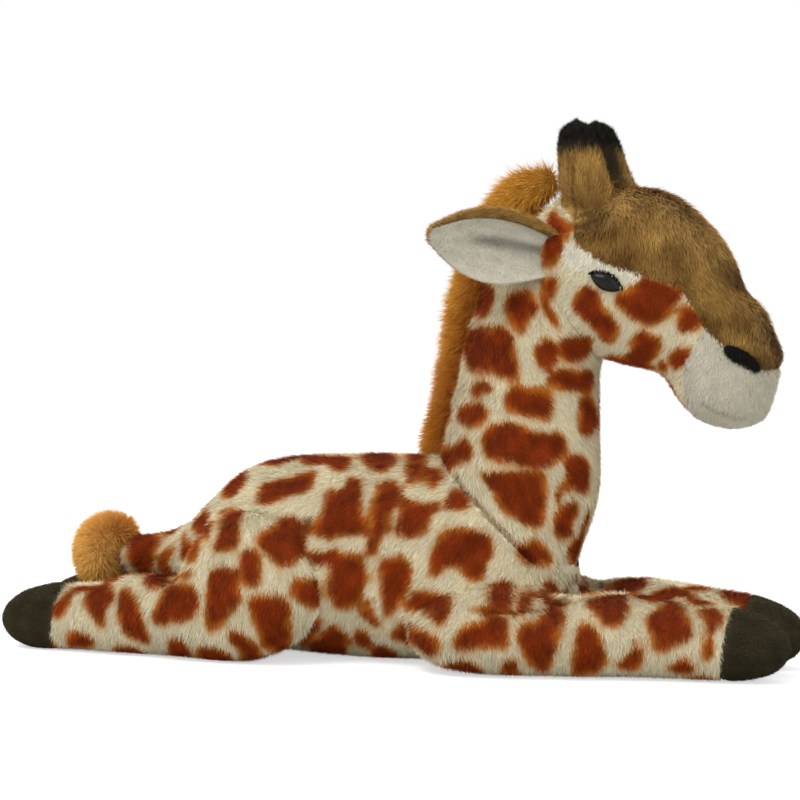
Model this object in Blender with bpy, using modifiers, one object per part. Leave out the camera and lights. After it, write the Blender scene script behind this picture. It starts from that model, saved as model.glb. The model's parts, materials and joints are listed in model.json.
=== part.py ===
"""A plush giraffe lying down, sewn from fabric covers over fibre fillings.

The giraffe faces +X and lies on z = 0, with +Z up and +Y its own left side.
Each stuffed form is a cage of rings with a Subdivision Surface. Its cover is the
form less a hollow, and its filling is the same form drawn in by the cover's wall.
"""

import math
from collections import namedtuple

import bmesh
import bpy
from mathutils import Matrix, Vector
from mathutils.bvhtree import BVHTree

# Fabric, clearances and cuts
COVER_WALL = 0.0035
FIT_GAP = 0.0003
FILLING_GAP = 0.0006
FLOOR_CUT = 0.0005
CUT_OVERRUN = 0.05

# Torso
TORSO_LENGTH = 0.200
TORSO_WIDTH = 0.092
TORSO_HEIGHT = 0.104
RUMP_X = -0.1005

# Neck
NECK_RISE = 0.165
NECK_DEPTH = 0.084
NECK_WIDTH = 0.074
NECK_SEAM_RISE = 0.066

# Head
HEAD_REACH = 0.115
HEAD_DROP = 0.085
HEAD_HEIGHT = 0.086
HEAD_WIDTH = 0.070

# Horns
HORN_RISE = 0.051
HORN_RADIUS = 0.012
HORN_LEAN = 0.006
HORN_TIP_LENGTH = 0.012

# Ears
EAR_LENGTH = 0.061
EAR_WIDTH = 0.040
EAR_CUP = 0.0085
EAR_SHEET = 0.0022

# Eyes
EYE_WIDTH = 0.015
EYE_HEIGHT = 0.011
EYE_PROUD = 0.0038
EYE_BACK = 0.0006
EYE_SINK = 0.0004
EYE_SHANK_RADIUS = 0.0017
EYE_SHANK_LENGTH = 0.0085
WASHER_RADIUS = 0.0055
WASHER_WALL = 0.0012
WASHER_SEAT = 0.0006

# Nose patches
NOSE_LENGTH = 0.021
NOSE_HEIGHT = 0.0085
NOSE_WALL = 0.001

# Mane
MANE_RISE = 0.128
MANE_LEAN = 0.056
MANE_WIDTH = 0.018
MANE_DEPTH = 0.030

# Front legs
FRONT_LEG_LENGTH = 0.179
FRONT_LEG_WIDTH = 0.046
FRONT_LEG_HEIGHT = 0.050
FRONT_HOOF_LENGTH = 0.032

# Hind legs
HIND_LEG_LENGTH = 0.174
HIND_LEG_WIDTH = 0.048
HIND_LEG_HEIGHT = 0.076
HIND_HOOF_LENGTH = 0.029

# Tail
TAIL_LENGTH = 0.076
TAIL_RADIUS = 0.0125
TUFT_RADIUS = 0.0185

# Pellet bag
PELLET_BAG_LENGTH = 0.104
PELLET_BAG_WIDTH = 0.058
PELLET_BAG_HEIGHT = 0.034

# Turns of the joints in degrees, as the packed record has them
NECK_TURNS = (-6, 8)
HEAD_TURNS = (-8, 8)
EAR_TURNS = (-12, 20)
TAIL_TURNS = (0, 25)
FRONT_LEG_TURNS = (0, 15)
HIND_LEG_TURNS = (0, 15)

# Counts
LARGE_SIDES = 12
SMALL_SIDES = 8
FORM_LEVELS = 1
HOLLOW_RING_STEPS = 2
ROUND_SIDES = 16
DOME_STEPS = 4
MERGE_DIVISOR = 30

# Rings of each form, as shares: x, y and z of the centre, then width and height of the ring
TORSO_SHARES = (
    (0.005, 0, 0.57, 0.36, 0.38),
    (0.06, 0, 0.53, 0.76, 0.76),
    (0.21, 0, 0.49, 0.94, 0.97),
    (0.47, 0, 0.49, 0.99, 0.99),
    (0.74, 0, 0.495, 1.00, 1.01),
    (0.90, 0, 0.48, 0.81, 0.83),
    (0.95, 0, 0.50, 0.42, 0.42),
)
NECK_SHARES = (
    (-0.08, 0, 0.00, 0.70, 0.43),
    (-0.10, 0, 0.13, 0.97, 0.77),
    (-0.14, 0, 0.33, 1.00, 1.00),
    (-0.11, 0, 0.52, 0.90, 0.88),
    (-0.07, 0, 0.68, 0.80, 0.82),
    (0.02, 0, 0.85, 0.74, 0.80),
    (0.14, 0, 1.00, 0.64, 0.62),
)
HEAD_SHARES = (
    (0.00, 0, 0.00, 0.50, 0.36),
    (0.12, 0, -0.08, 0.88, 0.70),
    (0.27, 0, -0.176, 1.00, 0.92),
    (0.48, 0, -0.306, 1.00, 1.02),
    (0.652, 0, -0.465, 0.86, 0.83),
    (0.762, 0, -0.617, 0.75, 0.67),
    (0.818, 0, -0.78, 0.76, 0.665),
    (0.888, 0, -0.91, 0.74, 0.62),
    (0.97, 0, -1.045, 0.38, 0.30),
)
HORN_SHARES = (
    (-0.40, 0, 0.00, 1.60, 1.60),
    (0.15, 0, 0.42, 1.12, 1.12),
    (0.86, 0, 0.86, 0.92, 0.92),
    (1.00, 0, 1.00, 0.68, 0.68),
)
FRONT_LEG_SHARES = (
    (0.01, 0.00, 0.32, 0.52, 0.36),
    (0.09, 0.00, 0.40, 0.90, 0.77),
    (0.27, -0.06, 0.45, 1.00, 0.92),
    (0.48, -0.22, 0.43, 0.88, 0.85),
    (0.70, -0.38, 0.41, 0.78, 0.80),
    (0.92, -0.46, 0.34, 0.82, 0.73),
    (1.00, -0.46, 0.33, 0.46, 0.38),
)
HIND_LEG_SHARES = (
    (0.00, 0.00, 0.395, 0.50, 0.42),
    (0.09, -0.01, 0.48, 0.91, 0.93),
    (0.25, -0.04, 0.49, 1.00, 1.00),
    (0.43, -0.12, 0.37, 0.86, 0.76),
    (0.63, -0.24, 0.228, 0.67, 0.44),
    (0.88, -0.32, 0.23, 0.75, 0.51),
    (0.98, -0.32, 0.225, 0.46, 0.32),
)
TAIL_SHARES = (
    (0.00, 0, 0.40, 1.35, 1.40),
    (-0.28, 0, 0.25, 1.14, 1.18),
    (-0.58, 0, 0.00, 0.94, 0.94),
    (-0.84, 0, -0.05, 0.84, 0.84),
    (-1.00, 0, 0.00, 0.60, 0.60),
)
MANE_SHARES = (
    (-0.06, 0, -0.01, 0.70, 0.66),
    (0.00, 0, 0.11, 0.95, 0.82),
    (0.16, 0, 0.36, 1.00, 0.84),
    (0.25, 0, 0.61, 1.00, 0.98),
    (0.40, 0, 0.82, 1.00, 1.12),
    (0.68, 0, 1.01, 0.95, 1.02),
    (0.97, 0, 1.075, 0.70, 0.60),
)
BALL_SHARES = (
    (-0.92, 0, 0, 0.50, 0.50),
    (-0.60, 0, 0, 0.96, 0.96),
    (0.00, 0, 0, 1.18, 1.18),
    (0.60, 0, 0, 0.96, 0.96),
    (0.92, 0, 0, 0.50, 0.50),
)
BAG_SHARES = (
    (-0.50, 0, 0, 0.50, 0.40),
    (-0.42, 0, 0, 0.90, 0.90),
    (0.00, 0, 0, 1.00, 1.00),
    (0.42, 0, 0, 0.90, 0.90),
    (0.50, 0, 0, 0.50, 0.40),
)

# Ear rows from root to tip, as shares: along the ear, and half of its width there
EAR_SHARES = ((0.00, 0.56), (0.25, 0.90), (0.50, 1.00), (0.78, 0.74), (1.00, 0.20))
EAR_AXIS_SHARE = 0.14
EAR_ACROSS_SHARES = (-1.00, -0.42, 0.42, 1.00)

# Seams of the head in side view, as shares of its reach and drop
FOREHEAD_SEAM_SHARES = (
    (0.10, 0.45),
    (0.224, 0.076),
    (0.252, -0.07),
    (0.365, -0.176),
    (0.513, -0.24),
    (0.678, -0.313),
    (0.79, -0.565),
    (0.85, -0.64),
    (1.01, -0.785),
    (1.30, -0.72),
    (1.70, 0.00),
    (1.00, 1.00),
    (0.20, 1.00),
)
MUZZLE_SEAM_SHARES = (
    (0.80, -0.52),
    (0.745, -0.64),
    (0.687, -0.76),
    (0.684, -0.93),
    (0.60, -1.35),
    (0.90, -1.90),
    (1.60, -1.90),
    (1.60, -0.30),
)

# Where pieces join their carriers, as shares of the carrier's own sizes
NECK_ROOT_SHARES = (0.89, 0, 0.385)
NECK_AXIS_SHARES = (0.83, 0, 0.84)
HEAD_ROOT_SHARES = (-0.05, 0, 1.055)
HEAD_AXIS_SHARES = (0.17, 0, 0.86)
HORN_ROOT_SHARES = (0.27, 0.26, 0.00)
EAR_ROOT_SHARES = (0.13, 0.385, -0.135)
EYE_SHARES = (0.365, 0.5, -0.294)
NOSE_SHARES = (0.92, 0.5, -0.706)
TAIL_ROOT_SHARES = (0.105, 0, 0.46)
TAIL_AXIS_SHARES = (0.03, 0, 0.50)
MANE_ROOT_SHARES = (0.632, 0, 0.99)
FRONT_LEG_ROOT_SHARES = (0.62, 0.46, 0)
FRONT_LEG_AXIS_SHARES = (0.80, 0.46, 0.26)
HIND_LEG_ROOT_SHARES = (0.35, 0.46, 0)
HIND_LEG_AXIS_SHARES = (0.25, 0.40, 0.36)
PELLET_BAG_SHARES = (0.50, 0, 0.12)

# Unit directions, each made to length one where it is used
EAR_ALONG = (-0.80, 0.58, 0.15)
EAR_FACING = (0.50, 0.80, -0.30)
EYE_FACING = (0.22, 0.96, 0.10)
NOSE_FACING = (0.35, 0.90, 0.30)
NOSE_ALONG = (0.85, 0, -0.53)

RIGHT = -1
LEFT = 1
SIDE_NAMES = {RIGHT: "right", LEFT: "left"}
Y_AXIS = Vector((0, 1, 0))
Z_AXIS = Vector((0, 0, 1))
Form = namedtuple("Form", "rows sides")

# Colour, roughness of each fabric or moulding
FINISHES = {
    "spotted_plush": ((0.60, 0.35, 0.20), 0.9),
    "tan_plush": ((0.31, 0.18, 0.05), 0.9),
    "white_plush": ((0.62, 0.60, 0.54), 0.9),
    "dark_plush": ((0.045, 0.040, 0.028), 0.9),
    "black_plush": ((0.02, 0.018, 0.015), 0.9),
    "mane_plush": ((0.40, 0.14, 0.03), 0.9),
    "tuft_plush": ((0.50, 0.27, 0.08), 0.9),
    "eye_plastic": ((0.03, 0.035, 0.045), 0.15),
    "washer_plastic": ((0.70, 0.70, 0.68), 0.5),
    "filling_fibre": ((0.85, 0.85, 0.83), 0.95),
    "bag_cloth": ((0.75, 0.74, 0.70), 0.85),
}


def clear_objects():
    """Remove what the scene holds."""
    for item in list(bpy.data.objects):
        bpy.data.objects.remove(item, do_unlink=True)


def make_collection(name):
    """A collection linked to the scene."""
    group = bpy.data.collections.new(name)
    bpy.context.scene.collection.children.link(group)
    return group


def finish_material(name):
    """The named finish as a Principled material, made once."""
    if name in bpy.data.materials:
        return bpy.data.materials[name]
    colour, roughness = FINISHES[name]
    material = bpy.data.materials.new(name)
    material.use_nodes = True
    shader = material.node_tree.nodes["Principled BSDF"]
    shader.inputs["Base Color"].default_value = (*colour, 1)
    shader.inputs["Roughness"].default_value = roughness
    shader.inputs["Metallic"].default_value = 0
    return material


def finished_mesh(name, build):
    """The mesh of a finished bmesh, which is freed."""
    mesh = bpy.data.meshes.new(name)
    build.to_mesh(mesh)
    build.free()
    return mesh


def add_object(name, mesh, finish=None):
    """A sub-part in the giraffe's collection, or a cutter where no finish is given."""
    item = bpy.data.objects.new(name, mesh)
    if finish:
        giraffe.objects.link(item)
        mesh.materials.append(finish_material(finish))
        return item
    cutters.objects.link(item)
    item.hide_render = True
    item.display_type = "WIRE"
    return item


def add_subdivision(item):
    """Round a cage, and split its faces alike in a form and in what is cut by it."""
    smooth = item.modifiers.new("rounding", "SUBSURF")
    smooth.levels = FORM_LEVELS
    smooth.render_levels = FORM_LEVELS
    split = item.modifiers.new("same_diagonals", "TRIANGULATE")
    split.quad_method = "FIXED"


def add_offset(item, distance):
    """Move the surface out along its normals, or in where the distance is negative."""
    offset = item.modifiers.new("offset", "DISPLACE")
    offset.strength = distance
    offset.mid_level = 0


def add_cut(item, cutter, operation="DIFFERENCE", solver="EXACT"):
    """Cut an object by a cutter, or keep only what lies in it."""
    cut = item.modifiers.new(cutter.name, "BOOLEAN")
    cut.operation = operation
    cut.object = cutter
    cut.solver = solver


def add_cuts(item, cutter_list, solver="EXACT"):
    """Cut an object by several cutters."""
    for cutter in cutter_list:
        add_cut(item, cutter, "DIFFERENCE", solver)


def hang_on(joint, items):
    """Parent sub-parts to the empty on their joint's axis, where they are."""
    for item in items:
        item.parent = joint
        item.matrix_parent_inverse = Matrix.Translation(joint.location).inverted()


def add_joint(name, pivot):
    """An empty on a joint's axis."""
    joint = bpy.data.objects.new(name, None)
    joint.location = pivot
    giraffe.objects.link(joint)
    return joint


def share_point(start, span, shares):
    """The point at these shares of a span from its start."""
    return Vector([begin + size * share for begin, size, share in zip(start, span, shares)])


def scaled_form(start, span, thickness, shares, sides=SMALL_SIDES, hand=1):
    """A form's rings in real sizes, as centre, half width and half height, and their sides."""
    rows = []
    for x_share, y_share, z_share, width_share, height_share in shares:
        centre = share_point(start, (span[0], span[1] * hand, span[2]), (x_share, y_share, z_share))
        rows.append((centre, thickness[0] * width_share / 2, thickness[1] * height_share / 2))
    return Form(rows, sides)


def ring_cage(name, form):
    """A closed cage of elliptic rings, each square to the line through the centres."""
    rows, sides = form
    limit_share = (2 + math.cos(2 * math.pi / sides)) / 3
    centres = [row[0] for row in rows]
    build = bmesh.new()
    rings = []
    for number, (centre, half_width, half_height) in enumerate(rows):
        ahead = centres[min(number + 1, len(rows) - 1)]
        behind = centres[max(number - 1, 0)]
        along = (ahead - behind).normalized()
        across = (Y_AXIS - along * along.dot(Y_AXIS)).normalized()
        upward = along.cross(across)
        ring = []
        for step in range(sides):
            angle = 2 * math.pi * step / sides
            place = centre + across * (half_width * math.cos(angle) / limit_share)
            place += upward * (half_height * math.sin(angle) / limit_share)
            ring.append(build.verts.new(place))
        rings.append(ring)
    for first, second in zip(rings, rings[1:]):
        for step in range(sides):
            after = (step + 1) % sides
            build.faces.new((first[step], first[after], second[after], second[step]))
    build.faces.new(rings[0])
    build.faces.new(rings[-1])
    bmesh.ops.recalc_face_normals(build, faces=build.faces)
    mesh = finished_mesh(name, build)
    mesh.shade_smooth()
    return mesh


def form_cutter(name, form, distance):
    """A stuffed form grown or drawn in by a distance, as a cutter."""
    cutter = add_object(name, ring_cage(name, form))
    add_subdivision(cutter)
    add_offset(cutter, distance)
    return cutter


def turned_copies(cutter, pivot, axis, turns, sign):
    """A cutter at rest and at both ends of a joint's turn about an axis through the pivot."""
    copies = [cutter]
    for degrees in turns:
        if degrees == 0:
            continue
        copy = cutter.copy()
        cutters.objects.link(copy)
        turn = Matrix.Rotation(math.radians(sign * degrees), 4, axis)
        copy.matrix_world = Matrix.Translation(pivot) @ turn @ Matrix.Translation(-pivot)
        copies.append(copy)
    return copies


def box_cutter(name, low, high):
    """A box between two corners, as a cutter."""
    build = bmesh.new()
    bmesh.ops.create_cube(build, size=1)
    low, high = Vector(low), Vector(high)
    for corner in build.verts:
        share = corner.co + Vector((0.5, 0.5, 0.5))
        corner.co = low + Vector([size * part for size, part in zip(high - low, share)])
    return add_object(name, finished_mesh(name, build))


def form_object(name, form, finish, offset=0):
    """A stuffed form as a sub-part, drawn in by an offset where it is a filling."""
    item = add_object(name, ring_cage(name, form), finish)
    add_subdivision(item)
    if offset:
        add_offset(item, offset)
    return item


def shell_object(name, form, finish, hollow):
    """A stuffed form's cover, hollowed."""
    item = form_object(name, form, finish)
    add_cut(item, hollow)
    return item


def inner_form(form):
    """Every other ring of a form, for what its cover hides."""
    return Form(form.rows[:-1:HOLLOW_RING_STEPS] + form.rows[-1:], SMALL_SIDES)


def filling_object(name, form):
    """A stuffed form's filling, just inside its cover."""
    return form_object(name, inner_form(form), "filling_fibre", -(COVER_WALL + FILLING_GAP))


def hollow_cutter(name, form):
    """The space inside a stuffed form's cover."""
    return form_cutter(name, inner_form(form), -COVER_WALL)


def torso_place(shares, hand=1):
    """A point at shares of the torso's length, width and height."""
    span = (TORSO_LENGTH, TORSO_WIDTH * hand, TORSO_HEIGHT)
    return share_point((RUMP_X, 0, -FLOOR_CUT), span, shares)


def neck_place(shares):
    """A point at shares of the neck's depth and rise from its root in the chest."""
    return share_point(torso_place(NECK_ROOT_SHARES), (NECK_DEPTH, 0, NECK_RISE), shares)


def head_place(shares, hand=1):
    """A point at shares of the head's reach, width and drop."""
    return share_point(neck_place(HEAD_ROOT_SHARES), (HEAD_REACH, HEAD_WIDTH * hand, HEAD_DROP), shares)


def torso_form():
    """The torso from rump to chest."""
    span = (TORSO_LENGTH, TORSO_WIDTH, TORSO_HEIGHT)
    start = (RUMP_X, 0, -FLOOR_CUT)
    return scaled_form(start, span, (TORSO_WIDTH, TORSO_HEIGHT), TORSO_SHARES, LARGE_SIDES)


def neck_form():
    """The neck from inside the chest up into the head."""
    span = (NECK_DEPTH, 0, NECK_RISE)
    return scaled_form(neck_place((0, 0, 0)), span, (NECK_WIDTH, NECK_DEPTH), NECK_SHARES)


def head_form():
    """The head from its back to the muzzle."""
    span = (HEAD_REACH, 0, HEAD_DROP)
    size = (HEAD_WIDTH, HEAD_HEIGHT)
    return scaled_form(head_place((0, 0, 0)), span, size, HEAD_SHARES, LARGE_SIDES)


def make_torso(floor, throat):
    """The body cover, its filling and the pellet bag in the belly."""
    form = torso_form()
    cover = shell_object("torso_cover", form, "spotted_plush", hollow_cutter("torso_hollow", form))
    add_cuts(cover, [throat, floor])
    bag_span = (PELLET_BAG_LENGTH, 0, 0)
    bag_size = (PELLET_BAG_WIDTH, PELLET_BAG_HEIGHT)
    bag_form = scaled_form(torso_place(PELLET_BAG_SHARES), bag_span, bag_size, BAG_SHARES)
    bag = form_object("pellet_bag", bag_form, "bag_cloth")
    inside = form_cutter("torso_inside", inner_form(form), -(COVER_WALL + FILLING_GAP))
    add_cut(bag, inside, "INTERSECT")
    filling = filling_object("torso_filling", form)
    add_cut(filling, form_cutter("pellet_bag_space", bag_form, FIT_GAP))


def make_neck(joint, seam, hollow, torso_cutters, head_cutters):
    """The neck's cover, open at both ends, and its filling."""
    cover = shell_object("neck_cover", neck_form(), "spotted_plush", hollow)
    filling = filling_object("neck_filling", neck_form())
    ends = [seam, *torso_cutters, *head_cutters]
    add_cuts(cover, ends)
    add_cuts(filling, ends, "MANIFOLD")
    hang_on(joint, [cover, filling])


def make_mane(joint, neck_cutter, torso_cutters, head_cutters):
    """The strip of brush pile down the back of the neck."""
    span = (MANE_LEAN, 0, MANE_RISE)
    form = scaled_form(torso_place(MANE_ROOT_SHARES), span, (MANE_WIDTH, MANE_DEPTH), MANE_SHARES)
    mane = form_object("mane", form, "mane_plush")
    add_cuts(mane, [neck_cutter, *torso_cutters, *head_cutters], "MANIFOLD")
    hang_on(joint, [mane])


def seam_prism(name, shares, apart):
    """What lies to one side of a seam of the head, moved apart from it by a fit gap or not."""
    outline = [head_place((x_share, 0, z_share)) for x_share, z_share in shares]
    shift = Vector((-apart, 0, -apart)) * math.sqrt(2)
    build = bmesh.new()
    near = [build.verts.new(point + shift - Y_AXIS * HEAD_WIDTH) for point in outline]
    drawn = bmesh.ops.extrude_face_region(build, geom=[build.faces.new(near)])
    moved = [part for part in drawn["geom"] if isinstance(part, bmesh.types.BMVert)]
    bmesh.ops.translate(build, vec=Y_AXIS * (2 * HEAD_WIDTH), verts=moved)
    bmesh.ops.recalc_face_normals(build, faces=build.faces)
    return add_object(name, finished_mesh(name, build))


def make_head(joint, throat, eye_spaces):
    """The three panels of the head's cover, and its filling."""
    form = head_form()
    hollow = hollow_cutter("head_hollow", form)
    below_forehead = seam_prism("below_forehead", FOREHEAD_SEAM_SHARES, FIT_GAP)
    forehead_panel = shell_object("forehead_panel", form, "tan_plush", hollow)
    add_cut(forehead_panel, seam_prism("forehead", FOREHEAD_SEAM_SHARES, 0), "INTERSECT")
    muzzle_cover = shell_object("muzzle_cover", form, "white_plush", hollow)
    add_cut(muzzle_cover, seam_prism("muzzle", MUZZLE_SEAM_SHARES, 0), "INTERSECT")
    add_cut(muzzle_cover, below_forehead)
    face_cover = shell_object("face_cover", form, "spotted_plush", hollow)
    behind_muzzle = seam_prism("behind_muzzle", MUZZLE_SEAM_SHARES, FIT_GAP)
    add_cuts(face_cover, [below_forehead, behind_muzzle, throat, *eye_spaces])
    filling = filling_object("head_filling", form)
    add_cuts(filling, eye_spaces)
    hang_on(joint, [forehead_panel, muzzle_cover, face_cover, filling])


def outward_of(facing, hand):
    """A facing direction on one side of the head, of length one."""
    return Vector((facing[0], facing[1] * hand, facing[2])).normalized()


def on_skin(skin, target, outward):
    """The point of a form's surface straight outward of a point inside it."""
    bpy.context.view_layer.update()
    tree = BVHTree.FromObject(skin, bpy.context.evaluated_depsgraph_get())
    return tree.ray_cast(target + outward * CUT_OVERRUN, -outward)[0]


def turned_object(name, profile, place, outward, finish=None, flatten_share=1):
    """A profile of radius and height turned about its own Z, set outward at a place."""
    mesh = bpy.data.meshes.new(name)
    corners = [(radius, 0, height) for radius, height in profile]
    mesh.from_pydata(corners, [(step, step + 1) for step in range(len(corners) - 1)], [])
    item = add_object(name, mesh, finish)
    turn = item.modifiers.new("turning", "SCREW")
    turn.steps = ROUND_SIDES
    turn.render_steps = ROUND_SIDES
    turn.use_merge_vertices = True
    turn.merge_threshold = FIT_GAP / MERGE_DIVISOR
    item.matrix_world = (
        Matrix.Translation(place)
        @ outward.to_track_quat("Z", "Y").to_matrix().to_4x4()
        @ Matrix.Diagonal((1, flatten_share, 1, 1))
    )
    return item


def dome_profile(grow):
    """Half the section of an eye's dome, grown all round, from its top to its back."""
    steps = [math.radians(90) * step / DOME_STEPS for step in range(DOME_STEPS + 1)]
    radius = EYE_WIDTH / 2 + grow
    height = EYE_PROUD + EYE_BACK + grow
    arc = [(radius * math.sin(angle), height * math.cos(angle) - EYE_BACK) for angle in steps]
    return arc + [(radius, -EYE_BACK - grow), (0, -EYE_BACK - grow)]


def rod_profile(radius, top, bottom):
    """Half the section of a rod."""
    return [(0, top), (radius, top), (radius, bottom), (0, bottom)]


def make_eye(joint, skin, hand):
    """An eye with its shank, and the washer pressed on it, with the spaces that they need."""
    side = SIDE_NAMES[hand]
    outward = outward_of(EYE_FACING, hand)
    centre = head_place(EYE_SHARES, hand)
    place = on_skin(skin, centre - outward * EYE_WIDTH, outward) - outward * EYE_SINK
    flatten_share = EYE_HEIGHT / EYE_WIDTH
    eye = turned_object(f"eye_{side}", dome_profile(0), place, outward, "eye_plastic", flatten_share)
    shank = rod_profile(EYE_SHANK_RADIUS, 0, -EYE_SHANK_LENGTH)
    add_cut(eye, turned_object(f"eye_shank_{side}", shank, place, outward), "UNION")
    top = -(COVER_WALL + WASHER_SEAT)
    bottom = top - WASHER_WALL
    hole = EYE_SHANK_RADIUS + FIT_GAP
    ring = [(hole, top), (WASHER_RADIUS, top), (WASHER_RADIUS, bottom), (hole, bottom), (hole, top)]
    washer = turned_object(f"eye_washer_{side}", ring, place, outward, "washer_plastic")
    hang_on(joint, [eye, washer])
    washer_space = rod_profile(WASHER_RADIUS + FIT_GAP, top + FIT_GAP, bottom - FIT_GAP)
    shank_space = rod_profile(hole, 0, -EYE_SHANK_LENGTH - FIT_GAP)
    dome = dome_profile(FIT_GAP)
    return [
        turned_object(f"dome_space_{side}", dome, place, outward, None, flatten_share),
        turned_object(f"shank_space_{side}", shank_space, place, outward),
        turned_object(f"washer_space_{side}", washer_space, place, outward),
    ]


def make_nose_patch(joint, skin, head_cutter, hand):
    """A black patch that lies along the seam between forehead and muzzle."""
    side = SIDE_NAMES[hand]
    outward = outward_of(NOSE_FACING, hand)
    along = Vector(NOSE_ALONG)
    along = (along - outward * along.dot(outward)).normalized()
    turn = Matrix((along, outward.cross(along), outward)).transposed().to_4x4()
    place = on_skin(skin, head_place(NOSE_SHARES, hand), outward)
    build = bmesh.new()
    bmesh.ops.create_cone(build, cap_ends=True, segments=ROUND_SIDES, radius1=0.5, radius2=0.5, depth=1)
    outline = add_object(f"nose_outline_{side}", finished_mesh("nose_outline", build))
    size = Matrix.Diagonal((NOSE_LENGTH, NOSE_HEIGHT, NOSE_LENGTH, 1))
    outline.matrix_world = Matrix.Translation(place) @ turn @ size
    grown = FIT_GAP + NOSE_WALL
    patch = form_object(f"nose_patch_{side}", head_form(), "black_plush", grown)
    add_cut(patch, outline, "INTERSECT")
    add_cut(patch, head_cutter)
    hang_on(joint, [patch])


def make_horn(joint, head_cutter, hand):
    """A horn: its cover, its filling and its black tip."""
    side = SIDE_NAMES[hand]
    start = head_place(HORN_ROOT_SHARES, hand)
    thickness = (2 * HORN_RADIUS, 2 * HORN_RADIUS)
    form = scaled_form(start, (-HORN_LEAN, 0, HORN_RISE), thickness, HORN_SHARES)
    hollow = hollow_cutter(f"horn_hollow_{side}", form)
    seam = start.z + HORN_RISE - HORN_TIP_LENGTH
    low = start - Vector((HORN_RISE, HORN_RISE, start.z - seam))
    high = start + Vector((HORN_RISE, HORN_RISE, 2 * HORN_RISE))
    above = box_cutter(f"horn_tip_side_{side}", low, high)
    apart = box_cutter(f"horn_tip_apart_{side}", low - Vector((0, 0, FIT_GAP)), high)
    cover = shell_object(f"horn_cover_{side}", form, "tan_plush", hollow)
    add_cuts(cover, [head_cutter, apart])
    tip = shell_object(f"horn_tip_{side}", form, "black_plush", hollow)
    add_cut(tip, above, "INTERSECT")
    filling = filling_object(f"horn_filling_{side}", form)
    add_cut(filling, head_cutter)
    hang_on(joint, [cover, tip, filling])


def ear_directions(hand):
    """Unit vectors along the ear, across it and out of its lined side."""
    along = outward_of(EAR_ALONG, hand)
    facing = outward_of(EAR_FACING, hand)
    facing = (facing - along * facing.dot(along)).normalized()
    return along, along.cross(facing), facing


def ear_sheet(name, finish, hand, layer):
    """One cupped leaf of the ear, on its back where the layer is negative, else on its lined side."""
    along, across, facing = ear_directions(hand)
    root = head_place(EAR_ROOT_SHARES, hand)
    build = bmesh.new()
    grid = []
    for length_share, width_share in EAR_SHARES:
        row = []
        for across_share in EAR_ACROSS_SHARES:
            half_width = EAR_WIDTH / 2 * width_share
            cup = EAR_CUP * width_share * (1 - across_share**2)
            place = root + along * (EAR_LENGTH * length_share) + across * (half_width * across_share)
            row.append(build.verts.new(place - facing * cup))
        grid.append(row)
    for first, second in zip(grid, grid[1:]):
        for step in range(len(EAR_ACROSS_SHARES) - 1):
            build.faces.new((first[step], first[step + 1], second[step + 1], second[step]))
    item = add_object(name, finished_mesh(name, build), finish)
    add_subdivision(item)
    add_offset(item, layer * (EAR_SHEET + FIT_GAP) / 2)
    sheet = item.modifiers.new("pile", "SOLIDIFY")
    sheet.thickness = EAR_SHEET
    sheet.offset = 0
    return item


def make_ear(hand, head_skin_cutter):
    """An ear that folds about its root seam: the tan cover and the white lining."""
    side = SIDE_NAMES[hand]
    along, across, _ = ear_directions(hand)
    pivot = head_place(EAR_ROOT_SHARES, hand) + along * (EAR_LENGTH * EAR_AXIS_SHARE)
    joint = add_joint(f"ear_fold_{side}", pivot)
    cover = ear_sheet(f"ear_cover_{side}", "tan_plush", hand, -1)
    lining = ear_sheet(f"ear_lining_{side}", "white_plush", hand, 1)
    spaces = turned_copies(head_skin_cutter, pivot, across, EAR_TURNS, -1)
    for item in (cover, lining):
        add_cuts(item, spaces)
    hang_on(joint, [cover, lining])


def make_leg(name, motion, hand, form, pivot, axis, turns, seam, toes, torso_cutter, floor):
    """One leg that turns at its root: cover, hoof and the filling that reaches into the hoof."""
    side = SIDE_NAMES[hand]
    joint = add_joint(f"{name}_{motion}_{side}", pivot)
    torso_cutters = turned_copies(torso_cutter, pivot, axis, turns, -1)
    hollow = hollow_cutter(f"{name}_hollow_{side}", form)
    low = Vector((min(seam, toes), -TORSO_WIDTH, -CUT_OVERRUN))
    high = Vector((max(seam, toes), TORSO_WIDTH, TORSO_HEIGHT))
    beyond = box_cutter(f"{name}_hoof_side_{side}", low, high)
    low.x -= FIT_GAP
    high.x += FIT_GAP
    apart = box_cutter(f"{name}_hoof_apart_{side}", low, high)
    cover = shell_object(f"{name}_cover_{side}", form, "spotted_plush", hollow)
    add_cuts(cover, [*torso_cutters, floor, apart])
    hoof = shell_object(f"{name.replace('leg', 'hoof')}_{side}", form, "dark_plush", hollow)
    add_cut(hoof, beyond, "INTERSECT")
    add_cut(hoof, floor)
    filling = filling_object(f"{name}_filling_{side}", form)
    add_cuts(filling, torso_cutters)
    hang_on(joint, [cover, hoof, filling])


def make_front_leg(hand, torso_cutter, floor):
    """A front leg, which lifts at the shoulder."""
    start = torso_place(FRONT_LEG_ROOT_SHARES, hand)
    span = (FRONT_LEG_LENGTH, FRONT_LEG_WIDTH, FRONT_LEG_HEIGHT)
    form = scaled_form(start, span, span[1:], FRONT_LEG_SHARES, SMALL_SIDES, hand)
    toes = start.x + FRONT_LEG_LENGTH
    seam = toes - FRONT_HOOF_LENGTH
    pivot = torso_place(FRONT_LEG_AXIS_SHARES, hand)
    turns = FRONT_LEG_TURNS
    ends = (seam, toes + CUT_OVERRUN, torso_cutter, floor)
    make_leg("front_leg", "lift", hand, form, pivot, -Y_AXIS, turns, *ends)


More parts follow.
